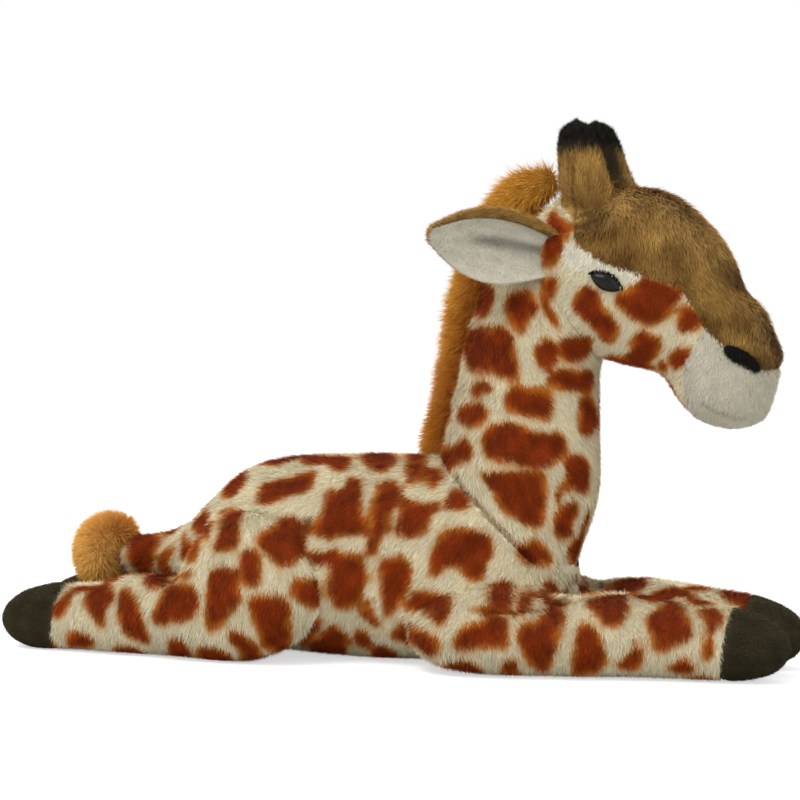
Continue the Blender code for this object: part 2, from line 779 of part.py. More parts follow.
def make_hind_leg(hand, torso_cutter, floor):
    """A hind leg, which splays at the hip."""
    start = torso_place(HIND_LEG_ROOT_SHARES, hand)
    span = (-HIND_LEG_LENGTH, HIND_LEG_WIDTH, HIND_LEG_HEIGHT)
    form = scaled_form(start, span, span[1:], HIND_LEG_SHARES, SMALL_SIDES, hand)
    toes = start.x - HIND_LEG_LENGTH
    seam = toes + HIND_HOOF_LENGTH
    pivot = torso_place(HIND_LEG_AXIS_SHARES, hand)
    turns = HIND_LEG_TURNS
    ends = (seam, toes - CUT_OVERRUN, torso_cutter, floor)
    make_leg("hind_leg", "splay", hand, form, pivot, Z_AXIS * -hand, turns, *ends)


def make_tail(torso_cutter):
    """The tail's cover and filling, and the tuft that its end sits in."""
    pivot = torso_place(TAIL_AXIS_SHARES)
    joint = add_joint("tail_lift", pivot)
    span = (TAIL_LENGTH, 0, TAIL_RADIUS)
    thickness = (2 * TAIL_RADIUS, 2 * TAIL_RADIUS)
    form = scaled_form(torso_place(TAIL_ROOT_SHARES), span, thickness, TAIL_SHARES)
    torso_cutters = turned_copies(torso_cutter, pivot, Y_AXIS, TAIL_TURNS, -1)
    cover = shell_object("tail_cover", form, "spotted_plush", hollow_cutter("tail_hollow", form))
    filling = filling_object("tail_filling", form)
    for item in (cover, filling):
        add_cuts(item, torso_cutters, "MANIFOLD")
    ball_span = (TUFT_RADIUS, 0, 0)
    ball_size = (2 * TUFT_RADIUS, 2 * TUFT_RADIUS)
    ball = scaled_form(form.rows[-1][0], ball_span, ball_size, BALL_SHARES)
    tuft = form_object("tail_tuft", ball, "tuft_plush")
    add_cut(tuft, form_cutter("tail_space", form, FIT_GAP))
    hang_on(joint, [cover, filling, tuft])


def make_giraffe():
    """Build every sub-part, the larger forms first, because they cut the smaller ones."""
    far = Vector((2 * TORSO_LENGTH, 2 * TORSO_WIDTH, 0))
    floor = box_cutter("floor", -far - Vector((0, 0, CUT_OVERRUN)), far)
    torso_cutter = form_cutter("torso_grown", torso_form(), FIT_GAP)
    neck_cutter = form_cutter("neck_grown", neck_form(), FIT_GAP)
    head_cutter = form_cutter("head_grown", head_form(), FIT_GAP)
    seam_top = Vector((far.x, far.y, NECK_SEAM_RISE))
    neck_seam = box_cutter("neck_seam", -far - Vector((0, 0, CUT_OVERRUN)), seam_top)
    neck_hollow = hollow_cutter("neck_hollow", neck_form())
    throat = hollow_cutter("throat", neck_form())
    add_cut(throat, neck_seam)
    make_torso(floor, throat)

    neck_axis = torso_place(NECK_AXIS_SHARES)
    head_axis = neck_place(HEAD_AXIS_SHARES)
    neck_joint = add_joint("neck_bend", neck_axis)
    head_joint = add_joint("head_nod", head_axis)
    under = turned_copies(torso_cutter, neck_axis, Y_AXIS, NECK_TURNS, -1)
    over = turned_copies(head_cutter, head_axis, Y_AXIS, HEAD_TURNS, 1)
    make_neck(neck_joint, neck_seam, neck_hollow, under, over)
    make_mane(neck_joint, neck_cutter, under, over)

    skin = form_cutter("head_skin", head_form(), 0)
    eye_spaces = []
    for hand in (RIGHT, LEFT):
        eye_spaces += make_eye(head_joint, skin, hand)
        make_nose_patch(head_joint, skin, head_cutter, hand)
        make_horn(head_joint, head_cutter, hand)
        make_ear(hand, head_cutter)
    make_head(head_joint, throat, eye_spaces)
    for hand in (RIGHT, LEFT):
        make_front_leg(hand, torso_cutter, floor)
        make_hind_leg(hand, torso_cutter, floor)
    make_tail(torso_cutter)


clear_objects()
giraffe = make_collection("plush_giraffe")
cutters = make_collection("cutters")
make_giraffe()
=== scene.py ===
"""A plush giraffe lying down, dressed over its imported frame.

Each stuffed form is a tube of rings through a cubic B-spline, the surface that the
frame's covers have. A skin lies just under it, and the pile on the skin is blades of
mesh that take the colour of the printed fabric at their roots. All lengths are metres.
"""

import functools
import json
import math
from collections import namedtuple

import bpy
import numpy as np
from bpy.props import FloatProperty, FloatVectorProperty, PointerProperty
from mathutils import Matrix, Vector


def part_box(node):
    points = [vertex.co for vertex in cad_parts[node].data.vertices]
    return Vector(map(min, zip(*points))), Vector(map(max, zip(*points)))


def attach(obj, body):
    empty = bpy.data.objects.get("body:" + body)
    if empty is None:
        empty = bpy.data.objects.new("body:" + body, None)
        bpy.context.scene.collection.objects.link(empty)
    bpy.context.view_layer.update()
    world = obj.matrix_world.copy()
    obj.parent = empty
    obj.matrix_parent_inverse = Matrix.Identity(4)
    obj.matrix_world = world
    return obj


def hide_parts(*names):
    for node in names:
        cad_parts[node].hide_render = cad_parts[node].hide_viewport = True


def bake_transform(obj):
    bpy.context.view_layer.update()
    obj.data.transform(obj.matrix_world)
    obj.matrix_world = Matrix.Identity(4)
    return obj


bl_info = {
    "name": "Plush Giraffe",
    "version": (1, 0, 0),
    "blender": (4, 5, 0),
    "location": "3D View > Sidebar > Giraffe",
    "description": "Builds the covers, pile, eyes and stage of a lying plush giraffe",
    "category": "Object",
}

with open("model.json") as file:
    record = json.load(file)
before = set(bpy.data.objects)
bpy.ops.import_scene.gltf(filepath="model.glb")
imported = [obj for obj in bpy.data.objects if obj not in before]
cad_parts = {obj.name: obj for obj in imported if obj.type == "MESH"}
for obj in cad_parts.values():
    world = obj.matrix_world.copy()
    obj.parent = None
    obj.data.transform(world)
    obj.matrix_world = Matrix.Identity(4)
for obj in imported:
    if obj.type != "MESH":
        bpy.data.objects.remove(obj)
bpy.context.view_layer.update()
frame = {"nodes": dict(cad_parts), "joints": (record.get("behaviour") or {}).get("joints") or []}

RIGHT = -1
LEFT = 1
SIDE_NAMES = {RIGHT: "right", LEFT: "left"}
X_AXIS = np.array((1.0, 0, 0))
Y_AXIS = np.array((0, 1.0, 0))
Z_AXIS = np.array((0, 0, 1.0))

# Sizes of the stuffed forms
TORSO_SPAN = np.array((0.200, 0.092, 0.104))
RUMP = np.array((-0.1005, 0, -0.0005))
NECK_SPAN = np.array((0.084, 0.074, 0.165))
HEAD_SPAN = np.array((0.115, 0.070, 0.085))
HEAD_HEIGHT = 0.086
HORN_SPAN = np.array((-0.006, 0, 0.051))
HORN_WIDTH = 0.024
HORN_TIP_LENGTH = 0.012
EAR_LENGTH = 0.061
EAR_WIDTH = 0.040
EAR_CUP = 0.0075
MANE_SPAN = np.array((0.056, 0, 0.128))
MANE_SIZES = (0.018, 0.030)
FRONT_LEG_SPAN = np.array((0.179, 0.046, 0.050))
FRONT_HOOF_LENGTH = 0.032
HIND_LEG_SPAN = np.array((-0.174, 0.048, 0.076))
HIND_HOOF_LENGTH = 0.029
TAIL_SPAN = np.array((0.076, 0, 0.0125))
TAIL_WIDTH = 0.025
TUFT_RADIUS = 0.0185
EYE_WIDTH = 0.0150
EYE_HEIGHT = 0.0100
EYE_PROUD = 0.0036
EYE_SLOPE = math.radians(27)

# Rings of each form, as shares: x, y and z of the centre, then width and height of the ring
TORSO_SHARES = (
    (0.005, 0, 0.57, 0.36, 0.38),
    (0.06, 0, 0.53, 0.76, 0.76),
    (0.21, 0, 0.49, 0.94, 0.97),
    (0.47, 0, 0.49, 0.99, 0.99),
    (0.74, 0, 0.495, 1.00, 1.01),
    (0.90, 0, 0.48, 0.81, 0.83),
    (0.95, 0, 0.50, 0.42, 0.42),
)
NECK_SHARES = (
    (-0.08, 0, 0.00, 0.70, 0.43),
    (-0.10, 0, 0.13, 0.97, 0.77),
    (-0.14, 0, 0.33, 1.00, 1.00),
    (-0.11, 0, 0.52, 0.90, 0.88),
    (-0.07, 0, 0.68, 0.80, 0.82),
    (0.02, 0, 0.85, 0.74, 0.80),
    (0.14, 0, 1.00, 0.64, 0.62),
)
HEAD_SHARES = (
    (0.00, 0, 0.00, 0.50, 0.36),
    (0.12, 0, -0.08, 0.88, 0.70),
    (0.27, 0, -0.176, 1.00, 0.92),
    (0.48, 0, -0.306, 1.00, 1.02),
    (0.652, 0, -0.465, 0.86, 0.83),
    (0.762, 0, -0.617, 0.75, 0.67),
    (0.818, 0, -0.78, 0.76, 0.665),
    (0.888, 0, -0.91, 0.74, 0.62),
    (0.97, 0, -1.045, 0.38, 0.30),
)
HORN_SHARES = (
    (-0.40, 0, 0.00, 1.60, 1.60),
    (0.15, 0, 0.42, 1.12, 1.12),
    (0.86, 0, 0.86, 0.92, 0.92),
    (1.00, 0, 1.00, 0.68, 0.68),
)
FRONT_LEG_SHARES = (
    (0.01, 0.00, 0.32, 0.52, 0.36),
    (0.09, 0.00, 0.40, 0.90, 0.77),
    (0.27, -0.06, 0.45, 1.00, 0.92),
    (0.48, -0.22, 0.43, 0.88, 0.85),
    (0.70, -0.38, 0.41, 0.78, 0.80),
    (0.92, -0.46, 0.34, 0.82, 0.73),
    (1.00, -0.46, 0.33, 0.46, 0.38),
)
HIND_LEG_SHARES = (
    (0.00, 0.00, 0.395, 0.50, 0.42),
    (0.09, -0.01, 0.48, 0.91, 0.93),
    (0.25, -0.04, 0.49, 1.00, 1.00),
    (0.43, -0.12, 0.37, 0.86, 0.76),
    (0.63, -0.24, 0.228, 0.67, 0.44),
    (0.88, -0.32, 0.23, 0.75, 0.51),
    (0.98, -0.32, 0.225, 0.46, 0.32),
)
TAIL_SHARES = (
    (0.00, 0, 0.40, 1.35, 1.40),
    (-0.28, 0, 0.25, 1.14, 1.18),
    (-0.58, 0, 0.00, 0.94, 0.94),
    (-0.84, 0, -0.05, 0.84, 0.84),
    (-1.00, 0, 0.00, 0.60, 0.60),
)
MANE_SHARES = (
    (-0.06, 0, -0.01, 0.70, 0.66),
    (0.00, 0, 0.11, 0.95, 0.82),
    (0.16, 0, 0.36, 1.00, 0.84),
    (0.25, 0, 0.61, 1.00, 0.98),
    (0.40, 0, 0.82, 1.00, 1.12),
    (0.68, 0, 1.01, 0.95, 1.02),
    (0.97, 0, 1.075, 0.70, 0.60),
)
BALL_SHARES = (
    (-0.92, 0, 0, 0.50, 0.50),
    (-0.60, 0, 0, 0.96, 0.96),
    (0.00, 0, 0, 1.18, 1.18),
    (0.60, 0, 0, 0.96, 0.96),
    (0.92, 0, 0, 0.50, 0.50),
)
EAR_SHARES = ((0.00, 0.56), (0.25, 0.90), (0.50, 1.00), (0.78, 0.74), (1.00, 0.20))

# Where the forms start, as shares of the form that carries them
NECK_ROOT_SHARES = (0.89, 0, 0.385)
HEAD_ROOT_SHARES = (-0.05, 0, 1.055)
HORN_ROOT_SHARES = (0.27, 0.26, 0.00)
EAR_ROOT_SHARES = (0.13, 0.385, -0.135)
EYE_SHARES = (0.365, 0.5, -0.294)
NOSE_SHARES = (0.92, 0.5, -0.706)
TAIL_ROOT_SHARES = (0.105, 0, 0.46)
MANE_ROOT_SHARES = (0.632, 0, 0.99)
FRONT_LEG_ROOT_SHARES = (0.62, 0.46, 0)
HIND_LEG_ROOT_SHARES = (0.35, 0.46, 0)
EAR_ALONG = (-0.80, 0.58, 0.15)
EAR_FACING = (0.50, 0.80, -0.30)

# Seams of the head in side view, as shares of its reach and drop
FOREHEAD_SEAM_SHARES = (
    (0.10, 0.45),
    (0.224, 0.076),
    (0.252, -0.07),
    (0.365, -0.176),
    (0.513, -0.24),
    (0.678, -0.313),
    (0.79, -0.565),
    (0.85, -0.64),
    (1.01, -0.785),
    (1.30, -0.72),
    (1.70, 0.00),
    (1.00, 1.00),
    (0.20, 1.00),
)
MUZZLE_SEAM_SHARES = (
    (0.80, -0.52),
    (0.745, -0.64),
    (0.687, -0.76),
    (0.684, -0.93),
    (0.60, -1.35),
    (0.90, -1.90),
    (1.60, -1.90),
    (1.60, -0.30),
)

# Where the head swells or is drawn in: shares of the head's span, reach and rise
HEAD_SWELLS = (
    ((0.58, 0, 0.25), 0.021, 0.0028),
    ((0.82, 0, -0.05), 0.011, 0.0010),
    ((0.96, 0, -0.28), 0.0095, -0.0055),
    ((1.06, 0, -0.45), 0.011, 0.0018),
    ((1.14, 0, -0.90), 0.014, -0.0042),
)
# Height of a hind leg's top beside the tail, the rise into the thigh, and how round the top is
HOCK_HEIGHT = 0.0425
THIGH_RISE = 0.060
HOCK_ROUNDNESS = 14.0
# Where the top of a front leg dips in front of the neck, how far along, and how deep
DIP_PLACE = 0.094
DIP_REACH = 0.016
DIP_DEPTH = 0.0042
# How far the front of each horn is drawn in at its base and at its tip, less than nothing where it flares
HORN_FRONTS = {"horn_right": (0.0036, 0.0018), "horn_left": (-0.0034, -0.0004)}

# Counts
LARGE_SIDES = 12
SMALL_SIDES = 8
LINE_SAMPLES = 96
SEED = 11

# How far a hoof's edge lies up the leg from the frame's seam, and how much further for each unit of height
HOOF_EDGES = {"front": (-0.0020, -0.13), "hind": (0.0042, 0.18)}

# How deep a skin and its blades run on under a neighbouring form
SKIN_SUNK = 0.0035
HAIR_SUNK = 0.0004

# Fillings made anew where skins are drawn in further than the frame's covers: the form and what cuts it
FILLING_DEPTH = 0.0060
FILLED = {
    "head_filling": ("head", ("neck",)),
    "hind_leg_filling_right": ("hind_leg_right", ("torso",)),
    "hind_leg_filling_left": ("hind_leg_left", ("torso",)),
    "front_leg_filling_right": ("front_leg_right", ("torso",)),
    "front_leg_filling_left": ("front_leg_left", ("torso",)),
    "horn_filling_right": ("horn_right", ("head",)),
    "horn_filling_left": ("horn_left", ("head",)),
}

# Sizes of a face where outlines are set on the forms, and the width of a seam
SPOT_CELL = 0.0015
BROW_CELL = 0.0012
SEAM_WIDTH = 0.0012

# The lowest points of a skin and of its blades over the floor
SKIN_FLOOR = 0.0006
BLADE_FLOOR = 0.0002

# Spots where the photograph doesn't look: how many places are tried, corners, radii and the least gap
ADDED_PLACES = 900
ADDED_CORNERS = 9
ADDED_RADII = (0.0130, 0.0100, 0.0072, 0.0048)
ADDED_GAP = 0.0022

# How far from an outline's corner, in pixels, a form can still carry it, and how far the corner slides
CARRIED_PIXELS = 6
SLID_PIXELS = 2

# Rows and columns of an ear's leaf, and how far its upper rim curls
EAR_ROWS = 44
EAR_COLUMNS = 34
EAR_CURL = 0.0045

# Lashes of an eye and sizes of a nose patch
EYE_POINTED = 0.35
LASH_COUNT = 260
LASH_LENGTH = 0.0016
LASH_WIDTH = 0.0003
NOSE_SIZES = (0.0195, 0.0066)
NOSE_PROUD = 0.0022
NOSE_SLOPE = math.radians(32)

# The half width of the floor
FLOOR_REACH = 6.0

# Lamps: name, place, size and power
LAMPS = (
    ("key_lamp", (-0.5, -1.2, 1.7), 1.0, 27),
    ("fill_lamp", (1.4, -0.9, 0.7), 1.2, 6),
    ("back_lamp", (-0.6, 1.3, 1.6), 1.2, 11),
)

# The photograph's camera, in metres and in pixels of an 800 x 800 picture
PICTURE_WIDTH = 800
FOCAL_PIXELS = 2600
SENSOR_WIDTH = 36
CAMERA_AZIMUTH = 18.0
CAMERA_ELEVATION = 3.3
CAMERA_DISTANCE = 1.3
CAMERA_TARGET = np.array((0.0035, 0, 0.129))

# Outlines of the printed spots in the photograph, as pixels across and down, corner after corner
TORSO_SPOTS = (
    (451, 492,  460, 490,  466, 495,  470, 505,  466, 510,  452, 510,  443, 508,  445, 500),
    (492, 584,  500, 580,  510, 581,  515, 590,  513, 599,  503, 607,  492, 610,  487, 603,
     487, 592),
    (468, 609,  480, 606,  490, 604,  500, 608,  490, 614,  478, 611),
    (528, 585,  533, 589,  530, 600,  524, 608,  514, 612,  510, 610,  518, 603,  523, 593),
    (540, 581,  549, 582,  556, 590,  557, 598,  548, 596,  541, 588),
    (556, 592,  568, 593,  566, 600,  558, 601),
    (260, 489,  271, 481,  290, 477,  303, 472,  315, 472,  313, 482,  308, 491,  296, 494,
     285, 499,  276, 505,  268, 509,  259, 507),
    (237, 472,  243, 469,  246, 477,  243, 486,  238, 495,  229, 500,  222, 496,  225, 487,
     231, 479),
    (220, 520,  230, 511,  240, 510,  244, 517,  240, 528,  238, 541,  231, 549,  214, 549,
     212, 543,  218, 532),
    (197, 512,  204, 510,  210, 514,  211, 522,  208, 531,  203, 539,  199, 532,  196, 520),
    (259, 535,  271, 531,  281, 522,  289, 518,  298, 519,  307, 527,  308, 538,  309, 550,
     305, 560,  298, 562,  289, 568,  281, 567,  273, 561,  264, 553,  258, 544),
    (241, 553,  250, 550,  258, 553,  261, 565,  261, 578,  258, 585,  247, 586,  241, 583,
     240, 568),
    (294, 579,  304, 580,  312, 575,  320, 582,  321, 593,  316, 601,  320, 608,  309, 609,
     300, 604,  292, 597,  291, 588),
    (309, 613,  320, 612,  322, 620,  317, 628,  312, 637,  306, 647,  300, 644,  302, 634,
     306, 624),
    (313, 638,  320, 630,  330, 625,  337, 624,  342, 631,  347, 639,  347, 650,  342, 655,
     314, 654,  310, 648),
    (301, 457,  312, 454,  330, 455,  350, 456,  350, 464,  346, 469,  337, 471,  330, 468,
     326, 463,  312, 464,  303, 463),
    (360, 457,  372, 453,  390, 452,  397, 456,  394, 463,  387, 469,  377, 471,  369, 467,
     363, 462),
    (407, 452,  414, 449,  423, 448,  427, 458,  424, 470,  419, 479,  413, 485,  407, 482,
     405, 472,  406, 460),
    (423, 472,  431, 468,  440, 471,  442, 478,  437, 486,  430, 488,  425, 481),
    (434, 449,  446, 446,  455, 449,  457, 460,  448, 467,  440, 458),
    (327, 490,  339, 491,  346, 483,  349, 477,  358, 478,  361, 484,  360, 497,  361, 511,
     365, 523,  362, 533,  350, 536,  340, 535,  329, 538,  318, 538,  312, 533,  315, 523,
     321, 512,  323, 501),
    (378, 484,  384, 480,  393, 482,  401, 488,  400, 495,  396, 506,  391, 517,  388, 527,
     381, 539,  377, 548,  371, 556,  365, 551,  367, 540,  369, 527,  371, 508,  374, 493),
    (401, 503,  407, 498,  413, 503,  422, 504,  435, 503,  435, 510,  430, 520,  428, 530,
     420, 535,  410, 538,  397, 536,  393, 531,  397, 520,  400, 511),
    (310, 553,  324, 554,  331, 552,  330, 564,  321, 565,  313, 562),
    (332, 548,  338, 553,  348, 556,  360, 556,  363, 568,  366, 580,  361, 592,  360, 602,
     354, 608,  341, 609,  334, 604,  329, 592,  330, 572,  331, 560),
    (361, 601,  369, 600,  371, 610,  376, 618,  381, 627,  374, 627,  367, 621,  360, 616,
     359, 608),
    (356, 630,  363, 631,  369, 638,  372, 646,  366, 649,  358, 648,  354, 640),
    (371, 646,  386, 647,  396, 653,  396, 659,  374, 657),
    (380, 561,  391, 559,  401, 557,  409, 562,  412, 572,  409, 584,  406, 594,  400, 603,
     394, 612,  388, 617,  384, 612,  382, 600,  379, 588,  378, 573),
    (411, 597,  416, 591,  424, 590,  434, 591,  444, 593,  451, 600,  449, 612,  443, 621,
     433, 622,  426, 614,  416, 610,  405, 607),
    (392, 632,  399, 622,  405, 619,  411, 628,  420, 632,  431, 636,  437, 642,  435, 649,
     428, 656,  418, 650,  408, 643,  399, 640,  392, 640),
    (442, 532,  454, 529,  470, 530,  483, 532,  490, 538,  494, 546,  492, 554,  488, 563,
     485, 572,  481, 580,  471, 581,  464, 576,  459, 570,  448, 569,  440, 573,  434, 578,
     428, 574,  430, 562,  432, 550,  436, 540),
)
NECK_SPOTS = (
    (462, 332,  468, 330,  500, 326,  510, 334,  514, 350,  516, 368,  517, 379,  505, 380,
     492, 374,  468, 370),
    (513, 293,  528, 290,  534, 300,  538, 308,  531, 317,  526, 328,  519, 333,  511, 325,
     505, 312,  506, 300),
    (541, 281,  556, 283,  553, 295,  549, 305,  556, 315,  561, 328,  555, 327,  545, 314,
     541, 300),
    (537, 345,  542, 339,  551, 339,  557, 345,  560, 352,  558, 362,  552, 371,  548, 372,
     541, 368,  536, 358,  535, 350),
    (563, 342,  570, 338,  582, 337,  590, 343,  590, 353,  585, 360,  575, 363,  563, 360,
     560, 352),
    (558, 371,  566, 368,  580, 371,  594, 372,  592, 393,  575, 392,  555, 389,  549, 382,
     552, 374),
    (472, 386,  480, 382,  490, 385,  492, 390,  483, 394,  475, 397,  470, 393),
    (512, 386,  520, 384,  530, 388,  545, 387,  551, 393,  553, 405,  550, 418,  545, 421,
     530, 418,  515, 414,  506, 409,  507, 395),
    (461, 407,  470, 404,  480, 405,  487, 411,  485, 419,  478, 426,  468, 427,  460, 423,
     456, 415),
    (583, 398,  594, 397,  598, 420,  597, 430,  588, 437,  581, 433,  580, 420,  581, 408),
    (487, 430,  494, 424,  508, 423,  520, 425,  528, 430,  538, 433,  548, 433,  558, 432,
     564, 438,  567, 448,  566, 456,  558, 462,  549, 467,  538, 467,  520, 464,  500, 462,
     487, 459,  484, 448,  483, 438),
    (458, 441,  466, 439,  470, 446,  471, 456,  468, 461,  460, 464,  452, 467,  449, 475,
     446, 468,  448, 455),
    (481, 474,  492, 473,  510, 471,  530, 471,  543, 473,  546, 485,  545, 500,  545, 515,
     541, 526,  530, 528,  518, 521,  505, 514,  498, 506,  492, 492,  487, 484),
    (568, 457,  578, 455,  588, 459,  591, 468,  590, 483,  588, 494,  578, 492,  568, 490,
     564, 497,  560, 505,  559, 492,  566, 480,  567, 466),
    (566, 505,  574, 503,  579, 508,  578, 518,  573, 525,  574, 535,  567, 540,  560, 540,
     555, 533,  556, 520,  560, 511),
    (590, 512,  592, 520,  588, 530,  585, 540,  580, 548,  584, 530),
    (576, 541,  584, 538,  582, 550,  577, 560,  572, 565,  568, 560,  568, 550),
    (526, 543,  538, 541,  545, 548,  551, 556,  550, 566,  540, 567,  528, 565,  520, 560,
     515, 550),
    (474, 284,  484, 281,  492, 288,  492, 300,  487, 312,  478, 318,  470, 310,  470, 295),
)
HEAD_SPOTS = (
    (551, 214,  556, 213,  560, 218,  566, 223,  572, 224,  575, 228,  571, 235,  567, 242,
     565, 249,  559, 255,  556, 261,  551, 266,  545, 267,  541, 262,  541, 250,  544, 238,
     547, 225),
    (572, 305,  574, 297,  579, 291,  585, 288,  593, 291,  598, 296,  600, 303,  604, 310,
     610, 316,  615, 324,  618, 331,  615, 340,  610, 345,  603, 344,  597, 337,  590, 329,
     583, 321,  576, 315,  571, 310),
    (636, 281,  641, 277,  648, 274,  655, 273,  662, 278,  670, 281,  677, 285,  683, 291,
     681, 297,  676, 304,  672, 311,  668, 317,  663, 322,  655, 326,  645, 325,  637, 322,
     629, 317,  622, 311,  617, 305,  616, 297,  620, 292,  630, 289),
    (680, 309,  686, 306,  693, 309,  700, 312,  706, 316,  707, 324,  702, 328,  695, 331,
     688, 333,  680, 333,  677, 328,  677, 319),
    (632, 342,  636, 336,  641, 333,  647, 335,  653, 338,  659, 340,  660, 347,  659, 354,
     655, 358,  650, 366,  655, 370,  646, 371,  636, 369,  625, 365,  612, 361,  604, 359,
     612, 357,  622, 358,  629, 353,  629, 347),
    (668, 357,  674, 352,  681, 349,  689, 351,  690, 356,  686, 361,  683, 367,  677, 370,
     671, 369,  667, 364),
    (658, 364,  662, 364,  666, 368,  664, 374,  660, 373,  657, 370),
)
FRONT_LEG_SPOTS = (
    (455, 640,  457, 633,  463, 628,  472, 625,  482, 622,  488, 617,  494, 615,  502, 618,
     507, 625,  508, 634,  507, 643,  503, 648,  492, 648,  478, 649,  465, 650,  455, 648,
     453, 644),
    (519, 630,  525, 626,  535, 624,  543, 618,  549, 612,  557, 611,  563, 615,  565, 621,
     562, 630,  559, 640,  556, 650,  552, 660,  550, 668,  546, 673,  538, 671,  531, 666,
     524, 657,  520, 648,  517, 638),
    (438, 668,  448, 666,  458, 664,  466, 663,  473, 665,  479, 669,  483, 676,  480, 681,
     460, 682,  440, 680),
    (503, 668,  506, 663,  511, 661,  516, 665,  518, 672,  521, 678,  516, 681,  500, 681,
     501, 674),
    (574, 650,  575, 640,  579, 632,  584, 626,  591, 628,  596, 633,  600, 640,  603, 648,
     606, 656,  607, 663,  603, 670,  597, 673,  580, 675,  573, 675,  572, 662),
    (586, 598,  591, 595,  602, 594,  614, 592,  625, 592,  628, 599,  628, 610,  626, 618,
     621, 623,  612, 625,  603, 622,  597, 615,  592, 607,  587, 603),
    (648, 615,  653, 611,  659, 607,  664, 602,  671, 599,  678, 602,  684, 608,  688, 616,
     691, 625,  692, 633,  687, 640,  681, 645,  674, 645,  668, 648,  660, 651,  654, 648,
     651, 640,  649, 630,  646, 622),
    (699, 611,  705, 609,  713, 609,  720, 611,  725, 616,  722, 624,  716, 629,  713, 635,
     713, 645,  713, 653,  710, 658,  704, 659,  701, 654,  702, 645,  705, 637,  707, 628,
     704, 620,  699, 616),
    (700, 583,  706, 584,  713, 588,  720, 592,  722, 597,  716, 600,  706, 600,  699, 598,
     695, 593,  699, 589),
    (636, 643,  640, 645,  642, 652,  642, 660,  640, 668,  632, 671,  620, 670,  616, 666,
     622, 661,  630, 655,  634, 648),
    (678, 662,  684, 660,  690, 663,  693, 670,  690, 675,  676, 674,  666, 669,  672, 666),
)
HIND_LEG_SPOTS = (
    (71, 591,  66, 593,  60, 597,  54, 603,  51, 610,  52, 616,  58, 617,  64, 612,  68, 605,
     71, 597),
    (70, 590,  75, 585,  84, 583,  92, 584,  90, 589,  82, 590,  74, 592),
    (100, 583,  106, 582,  110, 585,  113, 592,  112, 600,  107, 607,  104, 615,  104, 622,
     102, 627,  98, 626,  93, 618,  88, 610,  82, 605,  82, 600,  86, 593,  92, 586),
    (118, 595,  121, 590,  127, 591,  133, 596,  137, 604,  140, 614,  142, 622,  146, 630,
     147, 638,  148, 646,  140, 643,  131, 640,  124, 634,  119, 626,  117, 615,  117, 604),
    (67, 638,  71, 633,  78, 634,  86, 636,  92, 640,  94, 645,  88, 648,  70, 648,  66, 644),
    (138, 571,  146, 568,  153, 571,  159, 577,  163, 583,  160, 588,  150, 589,  143, 586,
     140, 579),
    (166, 588,  175, 584,  185, 585,  193, 589,  196, 598,  197, 608,  194, 616,  186, 621,
     178, 624,  172, 620,  168, 624,  160, 626,  153, 622,  152, 615,  156, 606,  160, 598),
    (168, 643,  175, 640,  182, 643,  189, 650,  192, 658,  193, 665,  180, 663,  170, 660,
     167, 652),
    (209, 573,  224, 569,  237, 571,  240, 580,  238, 589,  242, 598,  238, 608,  229, 615,
     224, 623,  215, 631,  207, 632,  204, 620,  205, 602,  207, 589),
    (252, 599,  263, 597,  280, 598,  289, 602,  290, 614,  291, 628,  289, 643,  284, 650,
     272, 651,  262, 646,  260, 635,  254, 624,  250, 608),
    (230, 635,  241, 636,  250, 642,  257, 648,  264, 657,  271, 660,  268, 666,  246, 668,
     240, 662,  240, 653,  231, 645),
    (196, 651,  208, 649,  221, 651,  229, 656,  230, 666,  208, 666,  198, 660),
)
TAIL_SPOTS = (
    (127, 535,  133, 531,  143, 530,  152, 530,  158, 535,  159, 543,  155, 551,  152, 560,
     148, 568,  140, 570,  132, 566,  127, 558,  125, 547),
    (175, 546,  170, 549,  164, 553,  159, 559,  157, 566,  162, 571,  169, 575,  178, 578,
     187, 578,  192, 574,  186, 573,  176, 571,  171, 564,  171, 556,  175, 551),
    (185, 536,  190, 534,  196, 539,  198, 548,  194, 560,  190, 562,  185, 556),
)
BROW_SPOT = (
    (566, 240,  580, 250,  600, 259,  622, 267,  641, 271,  639, 280,  630, 286,  618, 281,
     606, 273,  590, 270,  578, 272,  562, 264),
)

MOUTH_LINE = (702, 405,  711, 411,  722, 416,  737, 421)
# Creases in the photograph: depth and width in metres, then the line
CREASES = (
    (0.0016, 0.0009, (454, 476,  462, 488,  480, 508,  500, 530,  518, 548,  532, 562)),
    (0.0016, 0.0010, (308, 520,  309, 550,  312, 568,  311, 584)),
    (0.0012, 0.0035, (362, 505,  364, 545,  362, 600)),
    (0.0010, 0.0030, (330, 520,  329, 556)),
    (0.0010, 0.0030, (399, 545,  402, 596)),
    (0.0012, 0.0012, (481, 613,  515, 607,  551, 600,  576, 580)),
)

# How much of red, green and blue the painted shade along a crease takes away
CREASE_PAINTED_SHADE = np.array((0.42, 0.58, 0.70))

Form = namedtuple("Form", "centres halves sides")
Surface = namedtuple("Surface", "form points normals")
Spot = namedtuple("Spot", "centre normal across upward corners reach")
Pile = namedtuple("Pile", "vertices faces colours depth places")


def length_property(name, description, metres):
    """A length on the panel."""
    return FloatProperty(name=name, description=description, default=metres, subtype="DISTANCE")


class GiraffePile(bpy.types.PropertyGroup):
    """Lengths and densities of the pile."""

    short_length: length_property("Short pile", "Length of the printed pile", 0.0040)
    silky_length: length_property("Silky pile", "Length of the forehead's pile", 0.0062)
    velour_length: length_property("Velour", "Length of the pile on hooves, muzzle and ears", 0.0020)
    brush_length: length_property("Brush pile", "Length of the mane's and tuft's pile", 0.0062)
    blade_width: length_property("Blade width", "Width of a blade of pile at its root", 0.00042)
    density: FloatProperty(
        name="Density", description="Blades of printed pile on a square millimetre", default=3.6
    )
    cell: length_property("Skin cell", "Size of a face of the skin under the pile", 0.0020)


